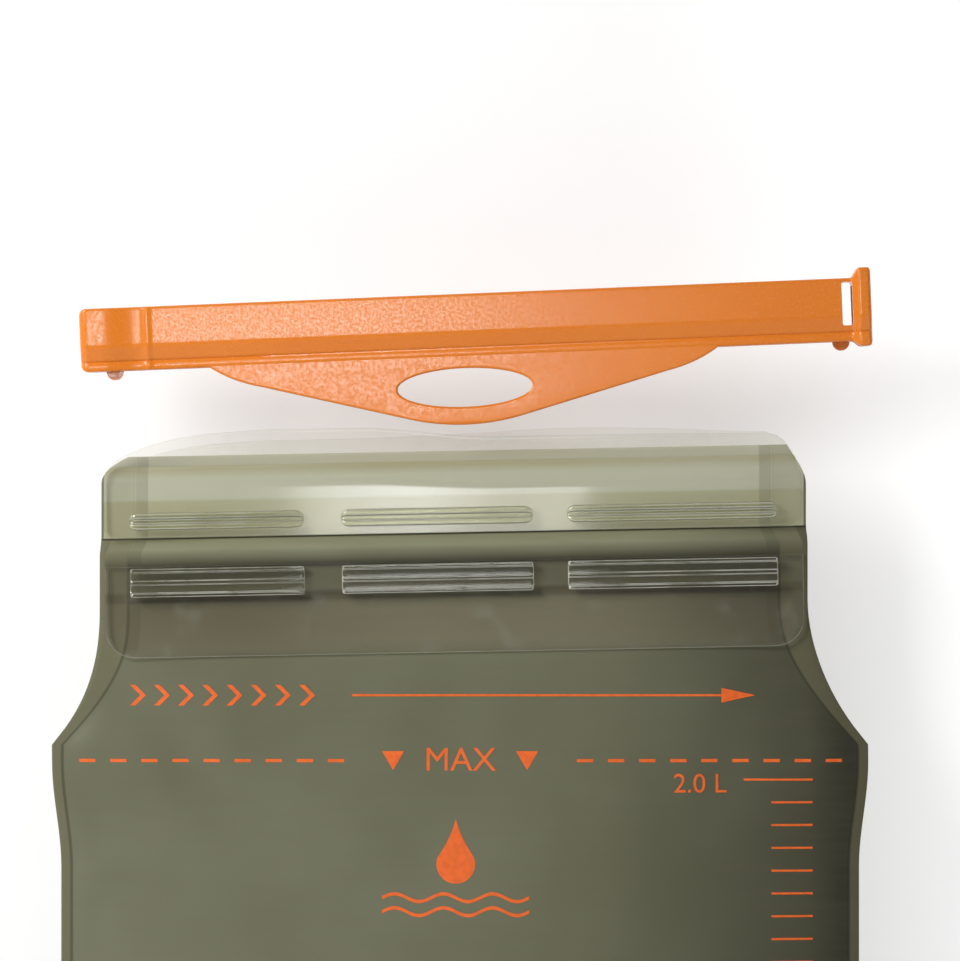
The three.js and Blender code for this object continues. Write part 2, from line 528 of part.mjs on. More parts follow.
// Centre line of the tube: off the elbow to the right, down inside the coil, out along a flat spiral on
// the ground, and a straight tail to the left that rises to the valve's height.
function tubePath() {
  const startY = ELBOW_ARM_Y;
  const ground = TUBE_OUTER + 0.3;
  const points = [
    new THREE.Vector3(15.6, startY, PORT_Z),
    new THREE.Vector3(24, startY, PORT_Z),
    new THREE.Vector3(32, startY, PORT_Z),
    new THREE.Vector3(45, startY - 3.5, PORT_Z - 1.5),
    new THREE.Vector3(54, startY - 13, PORT_Z - 5),
    new THREE.Vector3(57, startY - 27, PORT_Z - 11),
    new THREE.Vector3(55, startY - 47, PORT_Z - 21),
    new THREE.Vector3(50, startY - 68, PORT_Z - 28),
    new THREE.Vector3(47, startY - 87, PORT_Z - 33),
    new THREE.Vector3(45.8, startY - 103, PORT_Z - 38),
  ];
  const steps = 44;
  for (let i = 0; i <= steps; i += 1) {
    const swept = (COIL_SWEEP * i) / steps;
    const angle = COIL_START - swept;
    const radius = COIL_INNER + (COIL_PITCH * swept) / (2 * Math.PI);
    const z = i === 0 ? ground + 1 : ground;
    points.push(new THREE.Vector3(radius * Math.cos(angle), COIL_CENTRE.y + radius * Math.sin(angle), z));
  }
  for (const along of [5, 0, -7, -14]) {
    points.push(new THREE.Vector3(VALVE_X + along, COIL_Y_END, VALVE_Z));
  }
  return new THREE.CatmullRomCurve3(points, false, 'centripetal');
}

function drinkTube() {
  const section = new THREE.Shape().absarc(0, 0, TUBE_OUTER, 0, 2 * Math.PI);
  section.holes.push(new THREE.Path().absarc(0, 0, TUBE_BORE, 0, 2 * Math.PI));
  const options = { steps: 88, curveSegments: 4, extrudePath: tubePath(), bevelEnabled: false };
  return new THREE.ExtrudeGeometry(section, options);
}

// ---------- bite valve: drawn along local +X from the tube ----------
const BARREL_X = 28;
const BARREL_RADIUS = 4.2;
const BOSS_TOP = 8.6;

function valveBody() {
  const bore = 1.9;
  const profile = [
    [1, bore], [1, BARB_RADIUS], [14.6, BARB_RADIUS], [14.6, 6.4], [19, 7], [37, 7], [40, 6.4],
    [40, 4.2], [50, 4.2], [50, bore],
  ];
  const body = solidOf(turnedX(profile, 20));
  const boss = solidOf(rodZ(7.2, -7.6, BOSS_TOP, BARREL_X, 0, 28));
  const well = solidOf(rodZ(BARREL_RADIUS + 0.3, -5.8, BOSS_TOP + 1, BARREL_X, 0));
  const passage = solidOf(rodX(bore, 16, 38, 0, 0, 16));
  return geometryOf(body.add(boss).subtract(passage).subtract(well));
}

function shutoffBarrel() {
  const barrel = solidOf(rodZ(BARREL_RADIUS, -5.4, BOSS_TOP + 1.5, BARREL_X, 0));
  const lever = new THREE.Shape();
  lever.absarc(BARREL_X, 0, 6.4, -Math.PI / 2, Math.PI / 2);
  lever.absarc(BARREL_X - 14, 0, 4, Math.PI / 2, 1.5 * Math.PI);
  const paddle = new THREE.ExtrudeGeometry(lever, { depth: 2.6, bevelEnabled: false, curveSegments: 8 });
  paddle.translate(0, 0, BOSS_TOP + 0.4);
  const passage = solidOf(rodX(1.8, BARREL_X - 8, BARREL_X + 8, 0, 0, 16));
  return geometryOf(barrel.add(solidOf(paddle)).subtract(passage));
}

// Soft mouthpiece: a sleeve over the spout that widens to a flattened bulb with a closed bite end.
function mouthpiece() {
  const profile = [
    [41, 5.4], [41, 7.2], [49, 7], [54, 8], [60, 9], [66, 8.6], [70, 6.4], [71, 0],
    [68.6, 0], [66.5, 5], [61, 6.8], [54, 6], [51, 5.4],
  ];
  const points = profile.map(([along, radius]) => new THREE.Vector2(radius, along));
  points.push(points[0].clone());
  return new THREE.LatheGeometry(points, 18).rotateZ(-Math.PI / 2).scale(1, 1, 0.82);
}

function dustCap() {
  const profile = [
    [43, 9.6], [43, 10.9], [62, 10.9], [72, 9.8], [75.4, 6.6], [76, 0],
    [74.6, 0], [74, 6], [71, 8.6], [62, 9.6],
  ];
  const points = profile.map(([along, radius]) => new THREE.Vector2(radius, along));
  points.push(points[0].clone());
  return new THREE.LatheGeometry(points, 20).rotateZ(-Math.PI / 2).scale(1, 1, 0.86);
}

// ---------- assembly ----------
const bladder = new THREE.Group();

add(bladder, 'front_film', frontFilm(), oliveFilm());
const backFilm = filmSheet(1, 0, FOLD_Z - SPLIT_GAP, 14, 30, BACK_BULGE, 1);
add(bladder, 'back_film', backFilm, oliveFilm());

// The neck's pieces are drawn upright and level, then placed by a group that is tilted about the fold.
function neckGroup(y) {
  const group = new THREE.Group();
  group.position.set(NECK_SHIFT, y, FOLD_Z);
  group.rotation.y = -NECK_TILT;
  bladder.add(group);
  return group;
}

const lowerNeck = neckGroup(0);
function addToLowerNeck(name, geometry) {
  add(lowerNeck, name, geometry.translate(0, 0, -FOLD_Z), clearPlastic());
}
addToLowerNeck('lower_seal_plate', plateXZ(lowerPlateOutline(), FRONT_PLATE_OUTER, FRONT_PLATE_INNER));
addToLowerNeck('back_neck_plate', plateXZ(lowerPlateOutline(), BACK_PLATE_INNER, BACK_PLATE_OUTER));
for (const [side, span] of Object.entries(RAIL_SPANS)) {
  addToLowerNeck(`lower_rail_${side}`, femaleRail(span));
}

// The flap turns about this group's X axis.
const flap = neckGroup(FOLD_AXIS_Y);
function addToFlap(name, geometry, material) {
  add(flap, name, geometry.translate(0, -FOLD_AXIS_Y, -FOLD_Z), material);
}
const flapLow = FOLD_Z + SPLIT_GAP;
addToFlap('front_lip_film', filmSheet(-1, flapLow, FOLD_Z + LIP_FILM_RISE, 12, 4, 0, 0), oliveFilm());
addToFlap('back_lip_film', filmSheet(1, flapLow, FOLD_Z + BACK_FILM_RISE, 12, 4, 0, 0), oliveFilm());
const frontLipPlate = plateXZ(lipPlateOutline(), FRONT_PLATE_OUTER, FRONT_PLATE_INNER);
const backLipPlate = plateXZ(lipPlateOutline(), BACK_PLATE_INNER, BACK_PLATE_OUTER);
addToFlap('front_lip_plate', frontLipPlate, clearPlastic());
addToFlap('back_lip_plate', backLipPlate, clearPlastic());
for (const [side, span] of Object.entries(RAIL_SPANS)) {
  addToFlap(`upper_rail_${side}`, maleRail(span), clearPlastic());
}

const slider = new THREE.Group();
slider.position.copy(SLIDER_CENTRE);
slider.rotation.y = -SLIDER_TILT;
bladder.add(slider);
add(slider, 'closure_slider', closureSlider(), orangePlastic());

add(bladder, 'outlet_flange', outletFlange(), greyPlastic());
add(bladder, 'socket_housing', socketHousing(), darkPlastic());
add(bladder, 'release_button', releaseButton(), orangePlastic());
add(bladder, 'button_spring', buttonSpring(), steel());
add(bladder, 'plug_core', plugCore(), greyPlastic());
add(bladder, 'plug_o_ring', oRing(PLUG_INNER_Y - PLUG_RING_INSET), blackRubber());
add(bladder, 'swivel_o_ring', oRing(ELBOW_BACK_Y - SWIVEL_RING_INSET), blackRubber());
add(bladder, 'swivel_elbow', swivelElbow(), darkPlastic());
add(bladder, 'drink_tube', drinkTube(), clearPlastic());

const valve = new THREE.Group();
valve.position.set(VALVE_X, COIL_Y_END, VALVE_Z);
valve.rotation.z = Math.PI;
bladder.add(valve);
add(valve, 'valve_body', valveBody(), darkPlastic());
add(valve, 'shutoff_barrel', shutoffBarrel(), orangePlastic());
add(valve, 'mouthpiece', mouthpiece(), silicone());
add(valve, 'dust_cap', dustCap(), clearPlastic());

export default bladder;
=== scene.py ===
"""Hydration bladder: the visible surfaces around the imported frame. Sizes are in millimetres and become
metres when a mesh is made. +Z is up, the front of the bag faces -Y, and the bag stands on z = 0."""

import json
import math

import bmesh
import bpy
from mathutils import Matrix, Vector, noise


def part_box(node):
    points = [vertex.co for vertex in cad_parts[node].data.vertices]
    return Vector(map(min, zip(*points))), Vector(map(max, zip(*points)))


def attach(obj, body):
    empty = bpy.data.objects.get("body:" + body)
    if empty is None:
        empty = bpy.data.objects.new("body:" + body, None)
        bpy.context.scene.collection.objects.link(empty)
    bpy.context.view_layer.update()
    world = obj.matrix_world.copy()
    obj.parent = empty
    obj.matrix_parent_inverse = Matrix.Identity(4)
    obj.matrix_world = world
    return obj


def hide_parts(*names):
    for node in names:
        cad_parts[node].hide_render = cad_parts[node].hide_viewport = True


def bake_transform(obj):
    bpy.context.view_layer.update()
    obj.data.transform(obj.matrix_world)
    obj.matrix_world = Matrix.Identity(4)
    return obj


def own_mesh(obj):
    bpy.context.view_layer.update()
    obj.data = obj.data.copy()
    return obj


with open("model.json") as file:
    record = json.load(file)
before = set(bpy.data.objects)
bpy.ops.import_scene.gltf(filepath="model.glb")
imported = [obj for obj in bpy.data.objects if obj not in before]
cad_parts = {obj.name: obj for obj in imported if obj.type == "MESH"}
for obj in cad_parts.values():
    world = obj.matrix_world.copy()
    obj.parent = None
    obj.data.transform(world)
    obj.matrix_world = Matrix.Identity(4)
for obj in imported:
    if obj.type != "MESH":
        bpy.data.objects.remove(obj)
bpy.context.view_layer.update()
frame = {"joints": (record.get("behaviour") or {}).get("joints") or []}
MM = 0.001

# ---------- places taken from the frame ----------


def joint(name):
    return next(j for j in frame["joints"] if j["name"] == name)


def tilt(name):
    """How far a joint's axis leans from level, in the plane of the bag's front."""
    axis = joint(name)["axis"]
    return math.atan2(axis[2], axis[0])


def box_mm(node):
    low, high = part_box(node)
    return low / MM, high / MM


FOLD_X = joint("mouth_fold")["pos_m"][0] / MM
FOLD_Z = joint("mouth_fold")["pos_m"][2] / MM
NECK_TILT = tilt("mouth_fold")
SLIDER_TILT = tilt("slider_slide")
FRONT_PLATE_Y = (box_mm("lower_seal_plate")[0].y, box_mm("lower_seal_plate")[1].y)
BACK_PLATE_Y = (box_mm("back_neck_plate")[1].y, box_mm("back_neck_plate")[0].y)
RAIL_FOOT_Y = box_mm("lower_rail_centre")[1].y
PORT_Z = joint("elbow_swivel")["pos_m"][2] / MM
FLANGE_STEP = 1.9
PORT_FACE_Y = box_mm("outlet_flange")[0].y + FLANGE_STEP
SHOULDER_HALF_WIDTH = box_mm("front_film")[1].x

# ---------- reservoir outline ----------

BODY_HALF_WIDTH = 92.4
NECK_HALF_WIDTH = 82.0
SHOULDER_Z = FOLD_Z - 50
FLARE_TOP_Z = FOLD_Z - 13.5
FLARE_RADIUS = 47.5
SHOULDER_FALL = 24.0
BOTTOM_CORNER_RADIUS = 28.0
LIP_Z = FOLD_Z + 27.0
LEFT_LIP_CORNER = (37.0, 10.8)
RIGHT_LIP_CORNER = (8.0, 14.0)
PLATE_DROP = 24.4
PLATE_FOLD_GAP = 3.3
PLATE_INSET = 1.2
LIP_FILM_INSET = 0.4
RIGHT_LIP_TUCK = 2.5
FRONT_FILM_RISE = 19.7
BACK_FILM_RISE = 22.2

FRONT_WELD_Y = -0.7
BACK_WELD_Y = -0.4
FILM_THICKNESS = 0.8
SHEET_THICKNESS = 0.5
WELD_GAP = 0.05
MOUTH_HALF_GAP = 0.85
BOTTOM_WELD = 9.0
BODY_WELD = 2.4
NECK_WELD = 6.6
LIP_WELD = 7.1
FRONT_BULGE = 19.0
BACK_BULGE = 15.0
PORT_HOLE_RADIUS = 10.3
PORT_FLAT_RADIUS = 33.0
PORT_BLEND = 14.0


def smooth(low, high, value):
    t = min(max((value - low) / (high - low), 0.0), 1.0)
    return t * t * (3 - 2 * t)


def mix(a, b, t):
    return a + (b - a) * t


def bell(value, middle, width):
    return math.exp(-(((value - middle) / width) ** 2))


def half_width(level, side):
    """Half-width of the outline at a level, on the left (side -1) or the right (+1)."""
    if level < BOTTOM_CORNER_RADIUS:
        below = BOTTOM_CORNER_RADIUS - level
        return BODY_HALF_WIDTH - BOTTOM_CORNER_RADIUS + math.sqrt(BOTTOM_CORNER_RADIUS**2 - below**2)
    shoulder = smooth(SHOULDER_Z - SHOULDER_FALL, SHOULDER_Z, level)
    body = mix(BODY_HALF_WIDTH, SHOULDER_HALF_WIDTH, shoulder)
    if level <= SHOULDER_Z:
        return body
    drop = max(FLARE_TOP_Z - level, 0)
    flare = NECK_HALF_WIDTH + FLARE_RADIUS - math.sqrt(FLARE_RADIUS**2 - drop**2)
    corner_width, corner_height = LEFT_LIP_CORNER if side < 0 else RIGHT_LIP_CORNER
    corner_base = LIP_Z - corner_height
    if level <= corner_base:
        return min(body, flare)
    up = min((level - corner_base) / corner_height, 1)
    return NECK_HALF_WIDTH - corner_width * (1 - math.sqrt(1 - up**2))


def weld_width(level):
    """The side weld is broad at the neck and narrow from the shoulders down."""
    return mix(BODY_WELD, NECK_WELD, smooth(SHOULDER_Z + 2, FLARE_TOP_Z - 6, level))


def stand_off(across, level, bulge):
    """How far a film stands off its weld. across runs from 0 in the middle to 1 at the side weld."""
    mouth = MOUTH_HALF_GAP * (1 - across**8) * smooth(SHOULDER_Z - 60, SHOULDER_Z, level)
    up = min(max((level - BOTTOM_WELD) / (FOLD_Z - PLATE_DROP - BOTTOM_WELD), 0), 1)
    low_end = math.sin(math.pi / 2 * min(up / 0.38, 1))
    top_end = smooth(0, 1, (1 - up) / 0.6)
    return mouth + bulge * low_end * top_end * (1 - across**2) ** 0.75


def slack(x, level, across, side):
    """The film's soft waves and the short puckers along its welds."""
    seed = 7.0 if side < 0 else 31.0
    wave = 0.9 * noise.noise(Vector((x / 46, level / 62, seed)))
    wave += 0.3 * noise.noise(Vector((x / 17, level / 30, seed + 5)))
    wobble = 2.2 * noise.noise(Vector((x / 20, level / 20, seed + 9)))
    bottom = 0.55 * math.sin(x / 4.6 + wobble) * math.exp(-max(level - BOTTOM_WELD, 0) / 13)
    edge = (1 - across) * BODY_HALF_WIDTH
    sides = 0.42 * math.sin(level / 5.2 + wobble) * math.exp(-edge / 9)
    pull = 0.5 * math.sin((abs(x) - 0.8 * level) / 5.5 + wobble) * bell(level, SHOULDER_Z + 4, 20)
    pull *= smooth(0.45, 0.8, across)
    rim = min(1.0, (1 - across) * 14) * smooth(BOTTOM_WELD, BOTTOM_WELD + 6, level)
    below_neck = 1 - smooth(FOLD_Z - PLATE_DROP - 14, FOLD_Z - PLATE_DROP - 1, level)
    return (wave + bottom + sides + pull) * rim * below_neck


def film_depth(side, x, level, across):
    """Distance of a film's outer face from its weld plane."""
    bulge = FRONT_BULGE if side < 0 else BACK_BULGE
    depth = stand_off(across, level, bulge) + slack(x, level, across, side) + FILM_THICKNESS
    if side < 0:
        from_port = math.hypot(x, level - PORT_Z)
        flat = 1 - smooth(PORT_FLAT_RADIUS, PORT_FLAT_RADIUS + PORT_BLEND, from_port)
        depth = mix(depth, FRONT_WELD_Y - PORT_FACE_Y, flat)
    return depth


def front_face_y(x, z):
    """The front film's outer face below the neck, for what is printed on it."""
    inner = half_width(z, x) - weld_width(z)
    return FRONT_WELD_Y - film_depth(-1, x, z, min(abs(x) / inner, 1))


# ---------- mesh helpers ----------


MERGE_DISTANCE = 1e-7


def link(name, data):
    made = bpy.data.objects.new(name, data)
    bpy.context.scene.collection.objects.link(made)
    return made


def close_up(name, mesh, merge=MERGE_DISTANCE):
    """A piece from a mesh whose touching points are merged and whose faces are turned outwards."""
    work = bmesh.new()
    work.from_mesh(mesh)
    bmesh.ops.remove_doubles(work, verts=work.verts, dist=merge)
    bmesh.ops.recalc_face_normals(work, faces=work.faces)
    work.to_mesh(mesh)
    work.free()
    return link(name, mesh)


def make_piece(name, vertices, faces):
    """A piece from points in millimetres."""
    mesh = bpy.data.meshes.new(name)
    mesh.from_pydata([Vector(v) * MM for v in vertices], [], faces)
    return close_up(name, mesh)


def final_mesh(piece):
    """A new mesh of a piece or curve with all its modifiers and settings worked in."""
    bpy.context.view_layer.update()
    graph = bpy.context.evaluated_depsgraph_get()
    return bpy.data.meshes.new_from_object(piece.evaluated_get(graph))


def curve_mesh(curve):
    """The mesh of a flat curve or text, stood upright in X and Z."""
    holder = link("curve", curve)
    mesh = final_mesh(holder)
    bpy.data.objects.remove(holder)
    mesh.transform(Matrix.Rotation(math.pi / 2, 4, "X"))
    return mesh


def bake(piece):
    """Replaces a piece's mesh by the result of its modifiers."""
    mesh = final_mesh(piece)
    piece.modifiers.clear()
    piece.data = mesh
    return piece


def shade(piece, angle=40):
    """Smooth shading, with edges sharper than the angle kept crisp."""
    piece.data.shade_smooth()
    work = bmesh.new()
    work.from_mesh(piece.data)
    limit = math.radians(angle)
    for edge in work.edges:
        edge.smooth = len(edge.link_faces) == 2 and edge.calc_face_angle(0) < limit
    work.to_mesh(piece.data)
    work.free()
    return piece


def move(piece, way):
    """Shifts a piece's mesh by a distance in millimetres."""
    piece.data.transform(Matrix.Translation(Vector(way) * MM))
    return piece


def even_normals(piece):
    """Keeps flat walls evenly shaded up to the small roundings beside them."""
    weighted = piece.modifiers.new("normals", "WEIGHTED_NORMAL")
    weighted.keep_sharp = True
    return bake(piece)


def bevel(piece, width, segments, angle=50):
    """Rounds the edges sharper than the angle. The width is in millimetres."""
    rounding = piece.modifiers.new("rounding", "BEVEL")
    rounding.width = width * MM
    rounding.segments = segments
    rounding.limit_method = "ANGLE"
    rounding.angle_limit = math.radians(angle)
    rounding.use_clamp_overlap = True
    return bake(piece)


def combine(piece, operation, others):
    """Joins or cuts a piece with others, one after another, which are then removed."""
    for other in others:
        change = piece.modifiers.new("change", "BOOLEAN")
        change.operation = operation
        change.solver = "EXACT"
        change.object = other
        bake(piece)
        if not piece.data.polygons:
            raise ValueError(f"nothing is left of {piece.name} after {operation} with {other.name}")
        bpy.data.objects.remove(other)


def join(piece, *others):
    combine(piece, "UNION", others)


def cut(piece, *others):
    combine(piece, "DIFFERENCE", others)


def place_map(piece):
    """Keeps each point's place at rest as a UV map in decimetres, so that a finish follows a bend."""
    layer = piece.data.uv_layers.new(name="place")
    for loop in piece.data.loops:
        co = piece.data.vertices[loop.vertex_index].co
        layer.data[loop.index].uv = (co.x * 10, co.z * 10)


def woven(rows, columns, round_rows=False, round_columns=False):
    """The faces between rows of points. Rows, columns or both can close on themselves."""
    faces = []
    for r in range(rows if round_rows else rows - 1):
        row, following = r * columns, (r + 1) % rows * columns
        for c in range(columns if round_columns else columns - 1):
            d = (c + 1) % columns
            faces.append((row + c, following + c, following + d, row + d))
    return faces


def thick_grid(name, outer, inner):
    """A closed sheet from two grids of points, each a list of rows."""
    rows, columns = len(outer), len(outer[0])
    last = (rows - 1) * columns
    count = rows * columns
    sheet = woven(rows, columns)
    rim = list(range(columns)) + [r * columns + columns - 1 for r in range(1, rows)]
    rim += list(range(last + columns - 2, last - 1, -1)) + [r * columns for r in range(rows - 2, 0, -1)]
    sides = [(a, b, b + count, a + count) for a, b in zip(rim, rim[1:] + rim[:1])]
    under = [tuple(i + count for i in reversed(face)) for face in sheet]
    return make_piece(name, [p for row in outer + inner for p in row], sheet + under + sides)


def sweep(name, rings):
    """A closed solid from a list of rings with the same number of points, capped at both ends."""
    size = len(rings[0])
    last = (len(rings) - 1) * size
    caps = [tuple(range(size)), tuple(reversed(range(last, last + size)))]
    faces = caps + woven(len(rings), size, round_columns=True)
    return make_piece(name, [p for ring in rings for p in ring], faces)


def circle(sides):
    """Evenly spaced angles round a circle."""
    return [2 * math.pi * i / sides for i in range(sides)]


def mirrored(points):
    """The other half of a symmetrical outline."""
    return [(-across, along) for across, along in reversed(points)]


def rounded(points, radius, steps=4):
    """A closed outline with each corner turned into a short curve."""
    out = []
    for i, corner in enumerate(points):
        p = Vector(corner)
        before = Vector(points[i - 1]) - p
        after = Vector(points[(i + 1) % len(points)]) - p
        start = p + before.normalized() * min(radius, before.length * 0.45)
        end = p + after.normalized() * min(radius, after.length * 0.45)
        for k in range(steps + 1):
            t = k / steps
            out.append(tuple(start * (1 - t) ** 2 + p * (2 * t * (1 - t)) + end * t**2))
    return out


def spread(low, high, step):
    """Evenly spaced values from low to high, no further apart than the step."""
    count = max(1, math.ceil((high - low) / step))
    return [mix(low, high, i / count) for i in range(count + 1)]


def in_neck(x, y, z):
    """A point drawn level in the neck's own frame, put where the tilted neck holds it."""
    turn = Matrix.Rotation(-NECK_TILT, 3, "Y")
    return Vector((FOLD_X, 0, FOLD_Z)) + turn @ Vector((x, y, z - FOLD_Z))


# ---------- material helpers ----------


def rgb(red, green, blue):
    """Linear colour of display values from 0 to 255."""
    def linear(value):
        value /= 255
        return value / 12.92 if value <= 0.04045 else ((value + 0.055) / 1.055) ** 2.4
    return (linear(red), linear(green), linear(blue), 1.0)


WHITE = (1, 1, 1, 1)


class Finish:
    """The node tree of a new material, or of the world, built one node at a time."""

    def __init__(self, name, owners=bpy.data.materials):
        self.owner = owners.new(name)
        self.owner.use_nodes = True
        self.tree = self.owner.node_tree
        self.tree.nodes.clear()

    def add(self, kind, inputs=None, output=0, **settings):
        node = self.tree.nodes.new(kind)
        for key, value in settings.items():
            setattr(node, key, value)
        for key, value in (inputs or {}).items():
            if isinstance(value, bpy.types.NodeSocket):
                self.tree.links.new(value, node.inputs[key])
            else:
                node.inputs[key].default_value = value
        return node.outputs[output] if node.outputs else None

    def math(self, operation, a, b=0.0):
        return self.add("ShaderNodeMath", {0: a, 1: b}, operation=operation)

    def times(self, a, b):
        return self.math("MULTIPLY", a, b)

    def axis(self, vector, letter):
        return self.add("ShaderNodeSeparateXYZ", {0: vector}, output=letter)

    def see_through(self, colour):
        return self.add("ShaderNodeBsdfTransparent", {"Color": colour})

    def ramp(self, factor, low, high, start=0.0, end=1.0):
        """Maps a factor from low..high to start..end, clamped and eased."""
        values = {"Value": factor, "From Min": low, "From Max": high, "To Min": start, "To Max": end}
        return self.add("ShaderNodeMapRange", values, interpolation_type="SMOOTHSTEP")

    def band(self, value, low, full, still_full, high):
        """1 between full and still_full, easing to 0 at low and high."""
        return self.times(self.ramp(value, low, full), self.ramp(value, still_full, high, 1.0, 0.0))

    def blend(self, factor, a, b):
        """Mixes two colours. The Mix node's sockets 6, 7 and its output 2 are the ones for colours."""
        return self.add("ShaderNodeMix", {0: factor, 6: a, 7: b}, output=2, data_type="RGBA")

    def zones(self, value, stops):
        """A colour that changes with a value, from (value, red, green, blue) stops in rising order."""
        low, high = stops[0][0], stops[-1][0]
        factor = self.add("ShaderNodeMapRange", {"Value": value, "From Min": low, "From Max": high})
        node = self.tree.nodes.new("ShaderNodeValToRGB")
        self.tree.links.new(factor, node.inputs[0])
        elements = node.color_ramp.elements
        for place, *_ in stops[1:-1]:
            elements.new((place - low) / (high - low))
        for element, (_, *colour) in zip(elements, stops):
            element.color = rgb(*colour)
        return node.outputs[0]

    def noise(self, vector, scale, detail=2.0, roughness=0.5):
        values = {"Vector": vector, "Scale": scale, "Detail": detail, "Roughness": roughness}
        return self.add("ShaderNodeTexNoise", values)

    def stretched(self, vector, x, y, z):
        return self.add("ShaderNodeMapping", {"Vector": vector, "Scale": (x, y, z)})

    def bump(self, height, strength, distance, normal=None):
        values = {"Height": height, "Strength": strength, "Distance": distance * MM}
        if normal is not None:
            values["Normal"] = normal
        return self.add("ShaderNodeBump", values)

    def principled(self, **inputs):
        names = {key.replace("_", " "): value for key, value in inputs.items()}
        return self.add("ShaderNodeBsdfPrincipled", names)

    def mixed(self, factor, a, b):
        return self.add("ShaderNodeMixShader", {0: factor, 1: a, 2: b})

    def done(self, shader):
        self.add("ShaderNodeOutputMaterial", {"Surface": shader})
        return self.owner


def object_place(finish):
    return finish.add("ShaderNodeTexCoord", output="Object")


def rise_above_fold(finish, uv):
    """Height above the tilted fold line, in millimetres, from the place map."""
    fold_u, fold_v = FOLD_X / 100, FOLD_Z / 100
    across = (-math.sin(NECK_TILT), math.cos(NECK_TILT), 0)
    dot = finish.add("ShaderNodeVectorMath", {0: uv, 1: across}, output="Value", operation="DOT_PRODUCT")
    at_fold = fold_u * across[0] + fold_v * across[1]
    return finish.times(finish.math("SUBTRACT", dot, at_fold), 100.0)


# Colours of the film in the neck, from (millimetres above the fold, red, green, blue).
# The dark band from -11.4 to -10 is painted shadow under the lower rails.
NECK_COLOURS_AND_RAIL_SHADOW = (
    (-24.6, 110, 108, 87),
    (-23.8, 116, 113, 91),
    (-19.0, 111, 105, 84),
    (-12.2, 103, 97, 77),
    # painted shadow under the lower rails
    (-11.4, 68, 62, 44),
    (-10.0, 69, 63, 46),
    (-9.0, 105, 102, 83),
    (-4.6, 102, 100, 81),
    (-3.4, 63, 62, 47),
    (0.6, 140, 141, 114),
    (2.6, 132, 131, 103),
)
# Paler than the body below: painted light from behind, coming through the empty lip.
LIP_COLOURS_BACKLIT = (
    (3.6, 165, 162, 130),
    (11.6, 167, 164, 133),
    (12.2, 182, 183, 164),
    (17.0, 183, 183, 165),
    (18.9, 164, 158, 127),
    (19.7, 164, 158, 127),
    (20.0, 184, 182, 164),
    (22.2, 184, 182, 164),
)
CREASE_RISE = 3.15
THROUGH_LIGHT = 0.2


